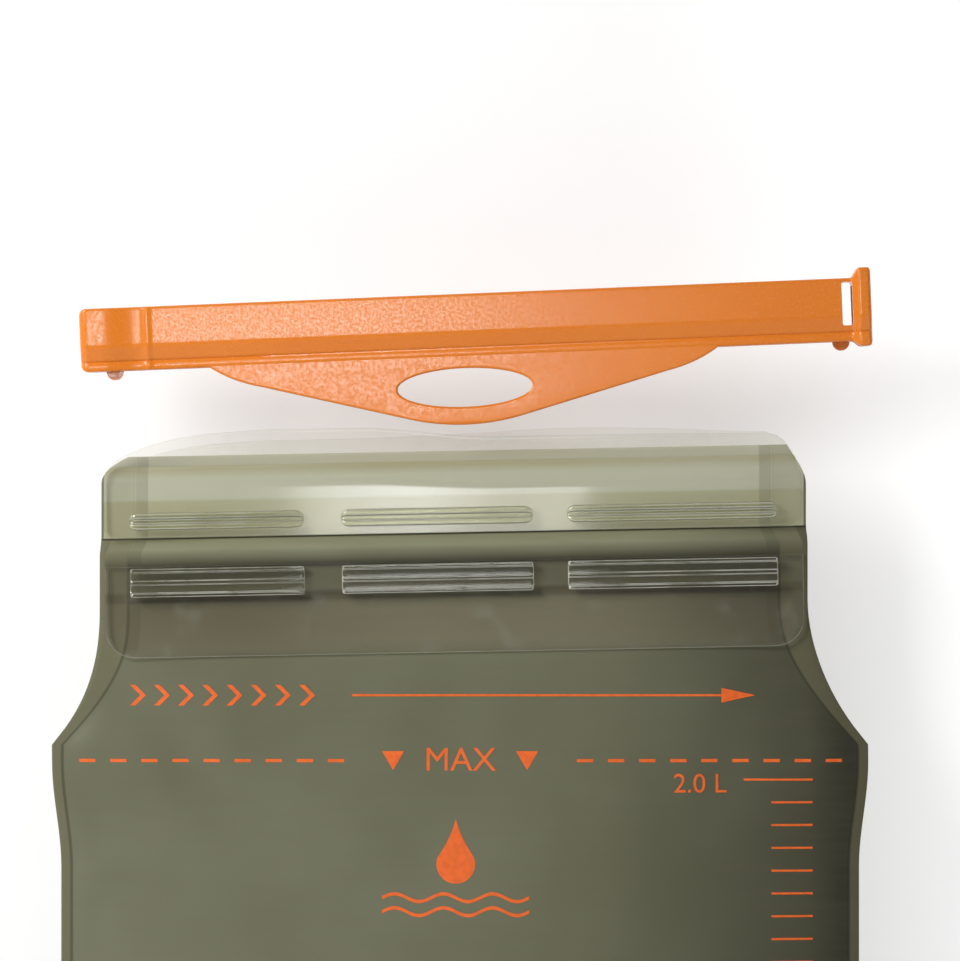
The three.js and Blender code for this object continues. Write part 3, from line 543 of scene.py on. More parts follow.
def olive_film_finish():
    """Smoky olive film: satin and slightly cloudy, with dark weld lines. Above the fold the bag is empty, so
    light from behind comes through it; its paler colours and faint glow there are painted light."""
    f = Finish("olive_film")
    uv = f.add("ShaderNodeUVMap", uv_map="place")
    rise = rise_above_fold(f, uv)
    from_seam = f.add("ShaderNodeAttribute", output="Fac", attribute_name="from_seam")
    weld = f.ramp(from_seam, -0.2, 0.1, 1.0, 0.0)
    clouds = f.noise(uv, 1.6, 3.0)
    streaks = f.noise(f.stretched(uv, 1.2, 9.0, 1.0), 5.0, 3.0)
    body = f.blend(clouds, rgb(94, 94, 71), rgb(123, 125, 102))
    across = f.axis(uv, "X")
    # Painted shade: the film is darkened towards its right side, and more at its right edge.
    body = f.blend(f.ramp(across, 0.15, 0.95, 0.0, 0.72), body, rgb(46, 44, 33))
    body = f.blend(f.ramp(across, 0.78, 0.93, 0.0, 0.6), body, rgb(30, 29, 20))
    below = f.zones(rise, NECK_COLOURS_AND_RAIL_SHADOW)
    # Painted shade: the neck film below the fold is darkened towards the right as well.
    below = f.blend(f.ramp(across, 0.35, 0.9, 0.0, 0.4), below, rgb(42, 39, 28))
    # Painted light: the film under the lower plate is made lighter in its middle.
    middle = f.band(across, -0.55, -0.1, 0.25, 0.65)
    below = f.blend(f.times(middle, f.ramp(rise, -8.0, -14.0, 0.0, 0.6)), below, rgb(135, 131, 109))
    above_corner = f.ramp(rise, -22.0, -16.5)
    beside_plate = f.math("MAXIMUM", f.ramp(from_seam, -3.5, -0.3), above_corner)
    beside_plate = f.times(beside_plate, f.ramp(from_seam, -5.6, -5.2))
    body = f.blend(f.times(beside_plate, f.ramp(rise, -24.7, -24.3)), body, below)
    body = f.blend(f.ramp(streaks, 0.35, 0.75, 0.0, 0.12), body, rgb(98, 92, 74))
    lip = f.zones(rise, LIP_COLOURS_BACKLIT)
    lip = f.blend(f.ramp(clouds, 0.3, 0.7, 0.0, 0.3), lip, rgb(186, 187, 173))
    above = f.ramp(rise, 3.1, 3.4)
    colour = f.blend(above, body, lip)
    colour = f.blend(f.times(weld, f.ramp(above, 0.0, 1.0, 0.45, 0.25)), colour, rgb(112, 107, 80))
    beside_weld = f.times(f.band(from_seam, 0.1, 0.3, 2.8, 3.1), f.ramp(rise, -24.0, -22.0, 0.0, 0.26))
    colour = f.blend(beside_weld, colour, rgb(74, 70, 46))
    seam = f.ramp(f.math("ABSOLUTE", from_seam), 0.2, 0.5, 0.5, 0.0)
    colour = f.blend(f.times(seam, f.ramp(rise, 2.0, -10.0, 0.15, 1.0)), colour, rgb(44, 44, 26))
    cut_edge = f.times(f.ramp(from_seam, -7.5, -7.2, 0.75, 0.0), above)
    colour = f.blend(cut_edge, colour, rgb(66, 70, 44))
    # Painted shade: a dark line along the crease, just under the lip plate's lower edge.
    crease_shade = f.ramp(f.math("ABSOLUTE", f.math("SUBTRACT", rise, CREASE_RISE)), 0.12, 0.34, 0.85, 0.0)
    colour = f.blend(crease_shade, colour, rgb(40, 40, 22))
    grain = f.noise(uv, 130.0, 3.0)
    skin = f.principled(
        Base_Color=colour,
        Roughness=f.ramp(f.noise(uv, 4.0, 3.0), 0.3, 0.7, 0.36, 0.5),
        Normal=f.bump(grain, 0.12, 0.05, f.bump(clouds, 0.25, 0.5)),
        Specular_IOR_Level=0.28,
        # Painted light: the lip glows faintly, standing in for light from behind.
        Emission_Color=colour,
        Emission_Strength=f.ramp(above, 0.0, 1.0, 0.0, THROUGH_LIGHT),
    )
    clear = f.see_through(rgb(238, 236, 214))
    return f.done(f.mixed(f.ramp(above, 0.0, 1.0, 0.98, 0.92), clear, skin))


EDGE_GLOW = 0.4


def glossed(finish, base, strength, roughness, **normal):
    """Lets the outward faces of a clear solid mirror. The inward ones don't: rays go straight through these
    materials, so an inward face would mirror all of a slanting ray and look black."""
    inward = finish.add("ShaderNodeNewGeometry", output="Backfacing")
    fresnel = finish.add("ShaderNodeFresnel", {"IOR": 1.5, **normal})
    outward = finish.math("SUBTRACT", 1.0, inward)
    share = finish.times(finish.times(fresnel, outward), strength)
    shine = finish.add("ShaderNodeBsdfGlossy", {"Roughness": roughness, **normal})
    return finish.done(finish.mixed(share, base, shine))


def clear_sheet_finish():
    """Clear glossy sheet: see-through where it faces the eye, with a crisp gloss. Its upper cut edges are
    painted dark; its lower ones are painted bright and glow: painted light that the sheet carries down to
    them."""
    f = Finish("clear_strip")
    place = object_place(f)
    ripples = f.noise(f.stretched(place, 14.0, 25.0, 50.0), 1.0, 2.0)
    normal = f.bump(ripples, 0.07, 0.12)
    direction = f.add("ShaderNodeTexCoord", output="Normal")
    facing = f.math("ABSOLUTE", f.axis(direction, "Y"))
    rim = f.ramp(facing, 0.35, 0.85, 1.0, 0.0)
    # Painted light: faces turned down are painted bright and glow; other edges are painted dark.
    lit_lower_edge = f.ramp(f.axis(direction, "Z"), -0.35, -0.2, 1.0, 0.0)
    scuffs = f.ramp(f.noise(place, 160.0, 4.0), 0.55, 0.8, 0.0, 0.04)
    edge_tint = f.blend(lit_lower_edge, rgb(88, 86, 80), rgb(244, 244, 232))
    edge_body = f.blend(lit_lower_edge, rgb(62, 60, 52), rgb(238, 239, 226))
    clear = f.see_through(f.blend(rim, rgb(253, 253, 251), edge_tint))
    body = f.principled(
        Base_Color=f.blend(rim, rgb(226, 228, 220), edge_body),
        Roughness=0.3,
        # Painted light: the lower edges glow.
        Emission_Color=rgb(238, 239, 226),
        Emission_Strength=f.times(f.times(rim, lit_lower_edge), EDGE_GLOW),
    )
    share = f.math("ADD", f.times(rim, 0.75), scuffs)
    base = f.mixed(share, clear, body)
    gloss = f.ramp(f.noise(place, 45.0, 3.0), 0.3, 0.7, 0.04, 0.08)
    return glossed(f, base, 1.9, gloss, Normal=normal)


def clear_rail_finish(name, line_strength, outline_strength):
    """Clear moulded rail: see-through flats, painted glints along its rounded edges and painted dark
    outlines.
    """
    f = Finish(name)
    place = object_place(f)
    sparkle = f.noise(f.stretched(place, 90.0, 90.0, 60.0), 1.0, 3.0)
    direction = f.add("ShaderNodeTexCoord", output="Normal")
    up = f.math("ABSOLUTE", f.axis(direction, "Z"))
    along = f.math("ABSOLUTE", f.axis(direction, "X"))
    edges = f.math("MAXIMUM", f.band(up, 0.12, 0.3, 0.66, 0.8), f.band(along, 0.2, 0.5, 0.8, 0.95))
    # Painted highlight: the rounded edges are painted pale as thin glinting lines.
    painted_glints = f.times(edges, f.ramp(sparkle, 0.35, 0.62, 0.3 * line_strength, line_strength))
    # Painted dark outlines on the faces that turn steeply up or down.
    dark = f.ramp(up, 0.66, 0.78, 0.0, outline_strength)
    clear = f.see_through(f.blend(dark, rgb(251, 251, 244), rgb(112, 110, 78)))
    body = f.principled(Base_Color=f.blend(dark, rgb(236, 238, 224), rgb(74, 72, 46)), Roughness=0.25)
    base = f.mixed(f.math("MINIMUM", f.math("ADD", painted_glints, dark), 0.92), clear, body)
    return glossed(f, base, 2.4, 0.06)


def clear_tube_finish():
    """Soft clear tube with a cool grey body and a wet gloss."""
    f = Finish("tube")
    place = object_place(f)
    cloud = f.noise(place, 45.0, 3.0)
    facing = f.add("ShaderNodeLayerWeight", {"Blend": 0.35}, output="Facing")
    tint = f.blend(facing, rgb(232, 238, 238), rgb(168, 178, 180))
    normal = f.bump(f.noise(place, 400.0, 2.0), 0.08, 0.05)
    clear = f.see_through(tint)
    body = f.principled(Base_Color=tint, Roughness=f.ramp(cloud, 0.3, 0.7, 0.16, 0.26), Normal=normal)
    base = f.mixed(f.ramp(facing, 0.1, 0.7, 0.3, 0.6), clear, body)
    return glossed(f, base, 1.4, 0.08, Normal=normal)


def orange_finish():
    """Moulded orange plastic: fine spark-eroded grain, a soft sheen and pale rubbed edges."""
    f = Finish("orange_plastic")
    place = object_place(f)
    clouds = f.noise(place, 40.0, 3.0)
    colour = f.blend(clouds, rgb(216, 116, 22), rgb(224, 126, 32))
    worn = f.add("ShaderNodeNewGeometry", output="Pointiness")
    colour = f.blend(f.ramp(worn, 0.56, 0.68, 0.0, 0.1), colour, rgb(246, 170, 106))
    grain = f.noise(place, 1500.0, 3.0, 0.65)
    speckle = f.ramp(grain, 0.35, 0.68, 0.15, 0.31)
    normal = f.bump(grain, 0.45, 0.03, f.bump(f.noise(place, 240.0, 2.0), 0.12, 0.05))
    inside = {"Subsurface_Weight": 0.06, "Subsurface_Scale": 0.0012}
    return f.done(f.principled(Base_Color=colour, Roughness=speckle, Normal=normal, IOR=1.52, **inside))


def moulded_finish(name, dark, light, rough, grain_size=2600.0):
    """Plain moulded plastic or rubber with grain, mottling and lighter worn edges."""
    f = Finish(name)
    place = object_place(f)
    colour = f.blend(f.noise(place, 60.0, 3.0), dark, light)
    worn = f.add("ShaderNodeNewGeometry", output="Pointiness")
    pale = tuple(min(c * 2.2 + 0.02, 1.0) for c in light[:3]) + (1.0,)
    colour = f.blend(f.ramp(worn, 0.53, 0.66, 0.0, 0.4), colour, pale)
    grain = f.noise(place, grain_size, 2.0, 0.6)
    normal = f.bump(grain, 0.3, 0.04)
    roughness = f.ramp(grain, 0.35, 0.7, rough - 0.06, rough + 0.08)
    return f.done(f.principled(Base_Color=colour, Roughness=roughness, Normal=normal, IOR=1.5))


def ink_finish():
    """Printed orange ink: opaque, slightly rough, thin in places."""
    f = Finish("print_ink")
    place = object_place(f)
    patches = f.ramp(f.noise(place, 700.0, 3.0), 0.35, 0.7)
    colour = f.blend(patches, rgb(240, 106, 30), rgb(226, 98, 30))
    normal = f.bump(f.noise(place, 1800.0, 2.0), 0.2, 0.02)
    return f.done(f.principled(Base_Color=colour, Roughness=0.5, Normal=normal))


def steel_finish():
    f = Finish("spring_steel")
    place = object_place(f)
    lines = f.noise(f.stretched(place, 300.0, 300.0, 4000.0), 1.0, 2.0)
    rough = f.ramp(lines, 0.3, 0.7, 0.2, 0.38)
    return f.done(f.principled(Base_Color=rgb(196, 198, 200), Metallic=1.0, Roughness=rough))


FILM = olive_film_finish()
PLATE = clear_sheet_finish()
FEMALE_RAIL = clear_rail_finish("clear_rail", 0.6, 0.6)
MALE_RAIL = clear_rail_finish("clear_bar", 0.3, 0.6)
TUBE = clear_tube_finish()
ORANGE = orange_finish()
DARK = moulded_finish("dark_plastic", rgb(46, 48, 43), rgb(60, 62, 56), 0.45)
GREY = moulded_finish("grey_plastic", rgb(100, 104, 99), rgb(120, 123, 117), 0.42)
RUBBER = moulded_finish("seal_rubber", rgb(22, 22, 22), rgb(34, 34, 33), 0.7, 1500.0)
SILICONE = moulded_finish("silicone", rgb(205, 210, 203), rgb(222, 226, 220), 0.38, 1200.0)
INK = ink_finish()
STEEL = steel_finish()


def finish_piece(piece, material, body, *replaced):
    """Gives a piece its material, hides the CAD nodes it stands for and attaches it to the body it rides on."""
    piece.data.materials.clear()
    piece.data.materials.append(material)
    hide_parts(*replaced)
    if body:
        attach(piece, body)
    return piece


# ---------- films ----------


def film_columns(level):
    """Places from edge to edge, denser in the welds. Each has its distance in from the weld's inner edge
    and its share of the way across the pocket between the welds."""
    columns = []
    weld_steps, pocket_steps = 4, 92
    for side in (-1, 1):
        half = half_width(level, side) - LIP_FILM_INSET * smooth(FOLD_Z - 1, FOLD_Z + 4, level)
        if level > LIP_Z - RIGHT_LIP_CORNER[1] and side > 0:
            half -= RIGHT_LIP_TUCK * smooth(LIP_Z - RIGHT_LIP_CORNER[1], LIP_Z - 4, level)
        inner = half - weld_width(level)
        lip_seam = NECK_HALF_WIDTH - PLATE_INSET - LIP_WELD
        seam = mix(inner, lip_seam, smooth(FOLD_Z - 1, FOLD_Z + 4, level))
        half_row = []
        for i in range(weld_steps):
            x = mix(half, inner, i / weld_steps)
            half_row.append((side * x, seam - x, 1.0))
        for i in range(pocket_steps // 2):
            across = 1 - i / (pocket_steps // 2)
            half_row.append((side * inner * across, seam - inner * across, across))
        columns += half_row + [(0.0, seam, 0.0)] if side < 0 else list(reversed(half_row))
    return columns


def film_levels(top):
    """Heights of a film's rows, closest together along the bottom weld and over the fold."""
    levels = spread(0, 3, 0.5)[:-1] + spread(3, BOTTOM_CORNER_RADIUS, 1.6)[:-1]
    levels += spread(BOTTOM_CORNER_RADIUS, FOLD_Z - 10, 2.0)[:-1]
    levels += spread(FOLD_Z - 10, FOLD_Z + 10, 0.8)[:-1]
    return levels + spread(FOLD_Z + 10, top, 0.7)


def make_film(name, side, top_rise):
    """One film, front (side -1) or back (+1). It fills the space up to the other film where it is welded."""
    weld_plane = FRONT_WELD_Y if side < 0 else BACK_WELD_Y
    outer, inner, from_seam = [], [], []
    for level in film_levels(FOLD_Z + top_rise):
        neck = smooth(SHOULDER_Z, FLARE_TOP_Z, level)
        outer_row, inner_row = [], []
        for across_x, gap, across in film_columns(level):
            x = across_x + FOLD_X * neck
            z = level + math.tan(NECK_TILT) * across_x * neck
            depth = film_depth(side, x, level, across)
            in_weld = gap <= 0 or level < BOTTOM_WELD
            welded = in_weld and level < FOLD_Z - PLATE_DROP
            thickness = depth - WELD_GAP if welded else SHEET_THICKNESS
            outer_row.append((x, weld_plane + side * depth, z))
            inner_row.append((x, weld_plane + side * (depth - thickness), z))
            from_seam.append(min(gap, level - BOTTOM_WELD))
        outer.append(outer_row)
        inner.append(inner_row)
    film = thick_grid(name, outer, inner)
    attribute = film.data.attributes.new("from_seam", "FLOAT", "POINT")
    attribute.data.foreach_set("value", from_seam + from_seam)
    bevel(film, 0.18, 2, 60)
    place_map(film)
    return shade(film, 50)


def make_films():
    front = make_film("front_film_skin", -1, FRONT_FILM_RISE)
    back = make_film("back_film_skin", 1, BACK_FILM_RISE)
    hole = drum("port_hole", on_port, PORT_FACE_Y - 15, PORT_FACE_Y + 15, PORT_HOLE_RADIUS, 48)
    cut(front, hole)
    finish_piece(front, FILM, None, "front_film", "front_lip_film")
    finish_piece(back, FILM, None, "back_film", "back_lip_film")
    for film in (front, back):
        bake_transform(film)


# ---------- neck plates and rails ----------

LIP_PLATE_CORNER = 2.5
LOWER_PLATE_CORNER = 6.5


def front_lip_wave(x):
    """Rise and fall of the front lip's edge: high on the left, lower right of the middle."""
    return mix(0.9, -1.7, smooth(-22, 10, x)) - 0.3 * smooth(40, 76, x)


def back_lip_wave(x):
    """The back lip's edge: low on the left, a hump right of the middle, and falling to the right end."""
    return -1.6 + 1.6 * bell(x, 30, 30) - 0.3 * smooth(50, 76, x)


def lip_bow(level):
    """The lips lean apart above the rails."""
    return 1.2 * math.sin(math.pi / 2 * smooth(FOLD_Z + 14, LIP_Z + 5, level))


def plate_half(level, side, low, corner, has_lip):
    """Half-width of a plate at a level, narrower in its rounded lower corners and along a lip's edge."""
    reach = NECK_HALF_WIDTH - PLATE_INSET
    up = level - low
    if up < corner:
        reach += math.sqrt(max(corner**2 - (corner - up) ** 2, 0)) - corner
    if has_lip:
        reach = min(reach, half_width(level, side) - PLATE_INSET)
    return reach


def make_plate(name, low, high, corner, faces_y, wave, direction):
    """A clear plate in the neck's frame, with rounded lower corners. A lip has a waved top edge and leans
    out in its direction."""
    levels = [low + corner * (1 - math.cos(math.pi / 2 * i / 7)) for i in range(7)]
    if wave:
        levels += spread(low + corner, high - 4, 1.2)[:-1]
        levels += [high - 4 * math.cos(math.pi / 2 * i / 8) for i in range(9)]
    else:
        levels += spread(low + corner, high, 1.5)
    columns = 90
    outer, inner = [], []
    for level in levels:
        left = plate_half(level, -1, low, corner, wave)
        right = plate_half(level, 1, low, corner, wave)
        bow = direction * lip_bow(level) if wave else 0
        outer_row, inner_row = [], []
        for c in range(columns + 1):
            x = mix(-left, right, c / columns)
            lift = wave(x) * smooth(low, high, level) if wave else 0
            for row, y in ((outer_row, faces_y[0]), (inner_row, faces_y[1])):
                row.append(in_neck(x, y + bow, level + lift))
        outer.append(outer_row)
        inner.append(inner_row)
    plate = thick_grid(name, outer, inner)
    bevel(plate, 0.22, 3, 60)
    return shade(plate, 60)


def make_plates():
    strip = (FOLD_Z - PLATE_DROP, FOLD_Z - PLATE_FOLD_GAP, LOWER_PLATE_CORNER)
    lip = (FOLD_Z + PLATE_FOLD_GAP, LIP_Z, LIP_PLATE_CORNER)
    plates = (
        ("lower_plate", "lower_seal_plate", "reservoir", strip, FRONT_PLATE_Y, None, -1),
        ("back_plate", "back_neck_plate", "reservoir", strip, BACK_PLATE_Y, None, 1),
        ("front_lip", "front_lip_plate", "mouth_flap", lip, FRONT_PLATE_Y, front_lip_wave, -1),
        ("back_lip", "back_lip_plate", "mouth_flap", lip, BACK_PLATE_Y, back_lip_wave, 1),
    )
    for name, node, body, extent, faces_y, wave, direction in plates:
        plate = make_plate(name, *extent, faces_y, wave, direction)
        finish_piece(plate, PLATE, body, node)


RAIL_OFFSET = 7.1
RAIL_SPANS = {"left": (-75.0, -34.5), "centre": (-26.0, 18.5), "right": (26.3, 75.0)}
MALE_HALF_HEIGHT = 2.1
MALE_DEPTH = 2.0
FEMALE_HALF_HEIGHT = 3.3
FEMALE_DEPTH = 2.2


def male_profile():
    """A bar with a groove along its front."""
    half, depth, groove, floor = MALE_HALF_HEIGHT, MALE_DEPTH, 0.75, 0.7
    points = [(0, half), (-depth, half * 0.88), (-depth, groove), (-depth + floor, groove * 0.6)]
    return rounded(points + [(y, -z) for y, z in reversed(points)], 0.6, 6)


def female_profile():
    """A channel open to the front, with a low ridge along its floor."""
    half, wall, base, depth = FEMALE_HALF_HEIGHT, 0.85, 0.6, FEMALE_DEPTH
    ridge, ridge_height = 0.45, 0.35
    points = [(0, half), (-depth, half), (-depth, half - wall), (-base, half - wall - 0.1)]
    points += [(-base, ridge), (-base - ridge_height, ridge)]
    return rounded(points + [(y, -z) for y, z in reversed(points)], 0.24)


def make_rail(name, profile, centre_z, span, end_radius, end_share):
    """A moulded bar along the neck whose ends are rounded over a short length."""
    low, high = span
    turns = [math.pi / 2 * i / 7 for i in range(1, 7)]
    ends = [(end_radius * (1 - math.cos(a)), math.sin(a)) for a in turns]
    stations = [(low + d, s) for d, s in ends]
    stations += [(x, 1.0) for x in spread(low + end_radius, high - end_radius, 6.0)]
    stations += [(high - d, s) for d, s in reversed(ends)]
    rings = []
    for x, share in stations:
        tall = mix(end_share, 1.0, share)
        deep = mix(0.55, 1.0, share)
        rings.append([in_neck(x, RAIL_FOOT_Y + y * deep, centre_z + z * tall) for y, z in profile])
    return even_normals(shade(sweep(name, rings), 60))


def make_rails():
    for side, span in RAIL_SPANS.items():
        upper_z = FOLD_Z + RAIL_OFFSET
        upper = make_rail(f"male_rail_{side}", male_profile(), upper_z, span, MALE_HALF_HEIGHT, 0.1)
        finish_piece(upper, MALE_RAIL, "mouth_flap", f"upper_rail_{side}")
        lower = make_rail(f"female_rail_{side}", female_profile(), FOLD_Z - RAIL_OFFSET, span, 0.8, 0.8)
        finish_piece(lower, FEMALE_RAIL, "reservoir", f"lower_rail_{side}")


# ---------- closure slider ----------

SLIDER_CENTRE = Vector((3.6, -4.5, FOLD_Z + 51.2))
SLIDER_LENGTH = 182.6
SLIDER_HEIGHT = 14.6
SLIDER_HALF_WIDTH = 4.8
SLIDER_WALL = 1.8
STOP_LENGTH = 15.5
FLANGE_LENGTH = 3.7


def channel_profile(swell, rise, drop):
    """Outside of the channel: flat walls, a bevel inwards from below the middle, and a straight lip."""
    half = SLIDER_HALF_WIDTH + swell
    top = SLIDER_HEIGHT / 2 + rise
    bottom = -SLIDER_HEIGHT / 2 - drop
    right = [(half, top), (half, -1.7), (half - 1.25, -4.9), (half - 1.75, -5.15), (half - 1.5, -5.6)]
    right.append((half - 1.5, bottom))
    return rounded(mirrored(right) + right, 0.7, 3)


def channel_void_profile():
    """The hollow of the channel, which narrows to a slot and is open below."""
    inner = SLIDER_HALF_WIDTH - SLIDER_WALL
    slot = 1.5
    top = SLIDER_HEIGHT / 2 - SLIDER_WALL
    shoulder = -SLIDER_HEIGHT / 2 + 2.2
    below = -SLIDER_HEIGHT
    right = [(inner, top), (inner, -1.5), (slot, shoulder), (slot, below)]
    return mirrored(right) + right


def flange_share(x):
    """0 along the channel, rising to 1 on the flange at its right end."""
    flange_start = SLIDER_LENGTH / 2 - FLANGE_LENGTH
    return smooth(flange_start - 0.9, flange_start + 1.2, x)


def slider_swell(x):
    """How far the walls stand out at a place along the channel: the stop block, its rim and the flange."""
    left_end = -SLIDER_LENGTH / 2
    block = 1.1 * (1 - smooth(left_end + 4.5, left_end + 13.5, x))
    return block + 0.25 * bell(x, left_end + STOP_LENGTH, 0.8) + 1.5 * flange_share(x)


def end_rounding(distance, radius):
    """How far the outline draws in near a rounded end."""
    if distance >= radius:
        return 0.0
    return radius - math.sqrt(max(radius**2 - (radius - distance) ** 2, 0))


def slider_outside():
    """The channel as rings of its profile, closest together where it swells and at its ends."""
    end = SLIDER_LENGTH / 2
    left_round, right_round = 1.6, 0.8
    block_end, flange_start = -end + STOP_LENGTH + 2.5, end - 6
    stations = [-end + left_round * (1 - math.cos(math.pi / 2 * i / 6)) for i in range(6)]
    stations += spread(-end + left_round, block_end, 0.45)[:-1]
    stations += spread(block_end, flange_start, 6.0)[:-1]
    stations += spread(flange_start, end - right_round, 0.3)[:-1]
    stations += [end - right_round * math.cos(math.pi / 2 * i / 5) for i in range(6)]
    rings = []
    for x in stations:
        inset = end_rounding(x + end, left_round) + end_rounding(end - x, right_round)
        rise, drop = 2.3 * flange_share(x) - inset, 1.2 * flange_share(x) - inset
        rings.append([(x, y, z) for y, z in channel_profile(slider_swell(x) - inset, rise, drop)])
    return sweep("slider_shell", rings)


def box_piece(name, low, high, edge=0.0):
    """A block between two corners, with its edges rounded where an edge width is given."""
    corners = [(x, y, z) for x in (low[0], high[0]) for y in (low[1], high[1]) for z in (low[2], high[2])]
    faces = [(0, 1, 3, 2), (4, 6, 7, 5), (0, 4, 5, 1), (2, 3, 7, 6), (0, 2, 6, 4), (1, 5, 7, 3)]
    made = make_piece(name, corners, faces)
    return bevel(made, edge, 3) if edge else made


def flat_shape(name, outlines, half_depth, edge):
    """A plate in X and Z from closed outlines, the later ones holes, with rounded edges."""
    curve = bpy.data.curves.new(name, "CURVE")
    curve.dimensions = "2D"
    curve.fill_mode = "BOTH"
    curve.extrude = (half_depth - edge) * MM
    curve.bevel_depth = edge * MM
    curve.bevel_resolution = 3
    curve.offset = -edge * MM
    for outline in outlines:
        spline = curve.splines.new("POLY")
        spline.points.add(len(outline) - 1)
        for point, (x, z) in zip(spline.points, outline):
            point.co = (x * MM, z * MM, 0, 1)
        spline.use_cyclic_u = True
    return close_up(name, curve_mesh(curve), 20 * MERGE_DISTANCE)


def arc(centre, half_axes, start, end, steps):
    """Points on an ellipse, from one angle in degrees to another."""
    points = []
    for i in range(steps + 1):
        angle = math.radians(mix(start, end, i / steps))
        across, up = half_axes[0] * math.cos(angle), half_axes[1] * math.sin(angle)
        points.append((centre[0] + across, centre[1] + up))
    return points


def quadratic(start, middle, end, steps):
    """Points inside a curve between two places, pulled towards a third one."""
    out = []
    for i in range(1, steps):
        t = i / steps
        a, b, c = (1 - t) ** 2, 2 * t * (1 - t), t**2
        out.append((a * start[0] + b * middle[0] + c * end[0], a * start[1] + b * middle[1] + c * end[1]))
    return out


def finger_loop():
    """The loop under the front wall: straight flanks, a rounded foot and an oval hole."""
    root_z = -SLIDER_HEIGHT / 2 + 0.9
    half_root, drop, offset = 60.0, 15.6, -3.0
    foot_radius, foot_half_angle = 52.0, 14.7
    flank_top, flank_rise = 47.0, 8.9
    foot_z = -SLIDER_HEIGHT / 2 - drop + foot_radius
    foot = arc((0, foot_z), (foot_radius, foot_radius), 270 - foot_half_angle, 270 + foot_half_angle, 26)
    heel = foot[0]
    shoulder = (-flank_top, heel[1] + flank_rise)
    knee = (-flank_top - 7.5, shoulder[1] + 1.6)
    left = [(-half_root, root_z)] + quadratic((-half_root, root_z), knee, shoulder, 10)
    left += [(mix(shoulder[0], heel[0], i / 8), mix(shoulder[1], heel[1], i / 8)) for i in range(8)]
    bury = root_z + 2.77
    outline = left + foot + mirrored(left) + [(half_root * 0.6, bury), (-half_root * 0.6, bury)]
    hole = arc((0, -SLIDER_HEIGHT / 2 - 7), (15.6, 4.45), 360, 0, 48)[:-1]
    half_depth = 0.9
    loop = flat_shape("loop", [outline, hole], half_depth, 0.5)
    front = -SLIDER_HALF_WIDTH + 1.62
    return move(loop, (offset, front + half_depth, 0))


def nub(x):
    """A small round stud on the back wall, half below its lower edge."""
    z = -SLIDER_HEIGHT / 2
    y = SLIDER_HALF_WIDTH - 2.6
    rings = []
    for along, radius in ((-1.2, 1.5), (-0.9, 2.0), (0.9, 2.0), (1.2, 1.5)):
        ring = [(x + radius * math.cos(a), y + along, z + radius * math.sin(a)) for a in circle(24)]
        rings.append(ring)
    return sweep("nub", rings)


def make_slider():
    end = SLIDER_LENGTH / 2
    slider = slider_outside()
    void = sweep("void", [[(x, y, z) for y, z in channel_void_profile()] for x in (-end + 2.2, end + 2)])
    slot_high = end - FLANGE_LENGTH - 0.5
    slot = box_piece("slot", (slot_high - 2.5, -12, -3.6), (slot_high, 12, 6.4), 0.5)
    join(slider, finger_loop(), nub(-end + 7.5), nub(end - 7))
    cut(slider, void, slot)
    slider.data.transform(Matrix.Rotation(-SLIDER_TILT, 4, "Y"))
    move(slider, SLIDER_CENTRE)
    slider.name = "orange_slider"
    even_normals(shade(slider, 32))
    finish_piece(slider, ORANGE, "slider", "closure_slider")


# ---------- what is printed on the front film ----------

MARK_LIFT = 0.06
MARK_THICKNESS = 0.09
PRINT_TOP_Z = FOLD_Z + 2.2
ARROW_Z = PRINT_TOP_Z - 36.6
ARROW_TAIL_X, ARROW_HEAD_X, ARROW_TIP_X = -25.0, 60.5, 68.4
CHEVRON_PITCH = 5.6
FILL_LINE_Z = PRINT_TOP_Z - 51.7
DASH_LENGTH = 3.8
DASH_PITCH = 7.2
TICK_END_X, SHORT_TICK_X, LONG_TICK_X = 81.6, 72.0, 65.6
TICK_PITCH = 5.26
FIRST_TICK_Z = PRINT_TOP_Z - 56.1
FIGURES_X = 55.5
FIGURES_HEIGHT = 4.4
MARK_GRID = 3.0


def polygon(work, points):
    """Adds a flat filled outline in X and Z to the print."""
    vertices = [work.verts.new((x * MM, 0, z * MM)) for x, z in points]
    work.faces.new(vertices)


def bar_mark(work, x_low, x_high, z, thick):
    low, high = z - thick / 2, z + thick / 2
    polygon(work, [(x_low, low), (x_high, low), (x_high, high), (x_low, high)])


def text_mark(work, body, height, x, z):
    """Plain figures or letters, centred on (x, z)."""
    curve = bpy.data.curves.new("figures", "FONT")
    curve.body = body
    curve.size = height / 0.7 * MM
    curve.align_x = "CENTER"
    curve.align_y = "CENTER"
    curve.resolution_u = 6
    mesh = curve_mesh(curve)
    mesh.transform(Matrix.Translation((x * MM, 0, z * MM)))
    work.from_mesh(mesh)
    bpy.data.meshes.remove(mesh)


def drop_emblem(work, x, z, height):
    """A plain water drop over two short waves."""
    radius = height * 0.3
    centre_z = z - height * 0.5 + radius
    tip = (x, z + height * 0.5)
    waist = (x - radius * 0.25, centre_z + radius * 1.3)
    left = quadratic(tip, waist, (x - radius * 0.94, centre_z + radius * 0.35), 8)
    bowl = arc((x, centre_z), (radius, radius), 160, 380, 26)
    right = [(2 * x - px, pz) for px, pz in reversed(left)]
    polygon(work, [tip] + left + bowl + right)


def wave_mark(work, x_low, x_high, z, height, thick):
    steps = 48
    upper, lower = [], []
    for i in range(steps + 1):
        x = mix(x_low, x_high, i / steps)
        crest = z + height * math.sin(2 * math.pi * 3 * i / steps)
        upper.append((x, crest + thick / 2))
        lower.append((x, crest - thick / 2))
    for i in range(steps):
        polygon(work, [lower[i], lower[i + 1], upper[i + 1], upper[i]])


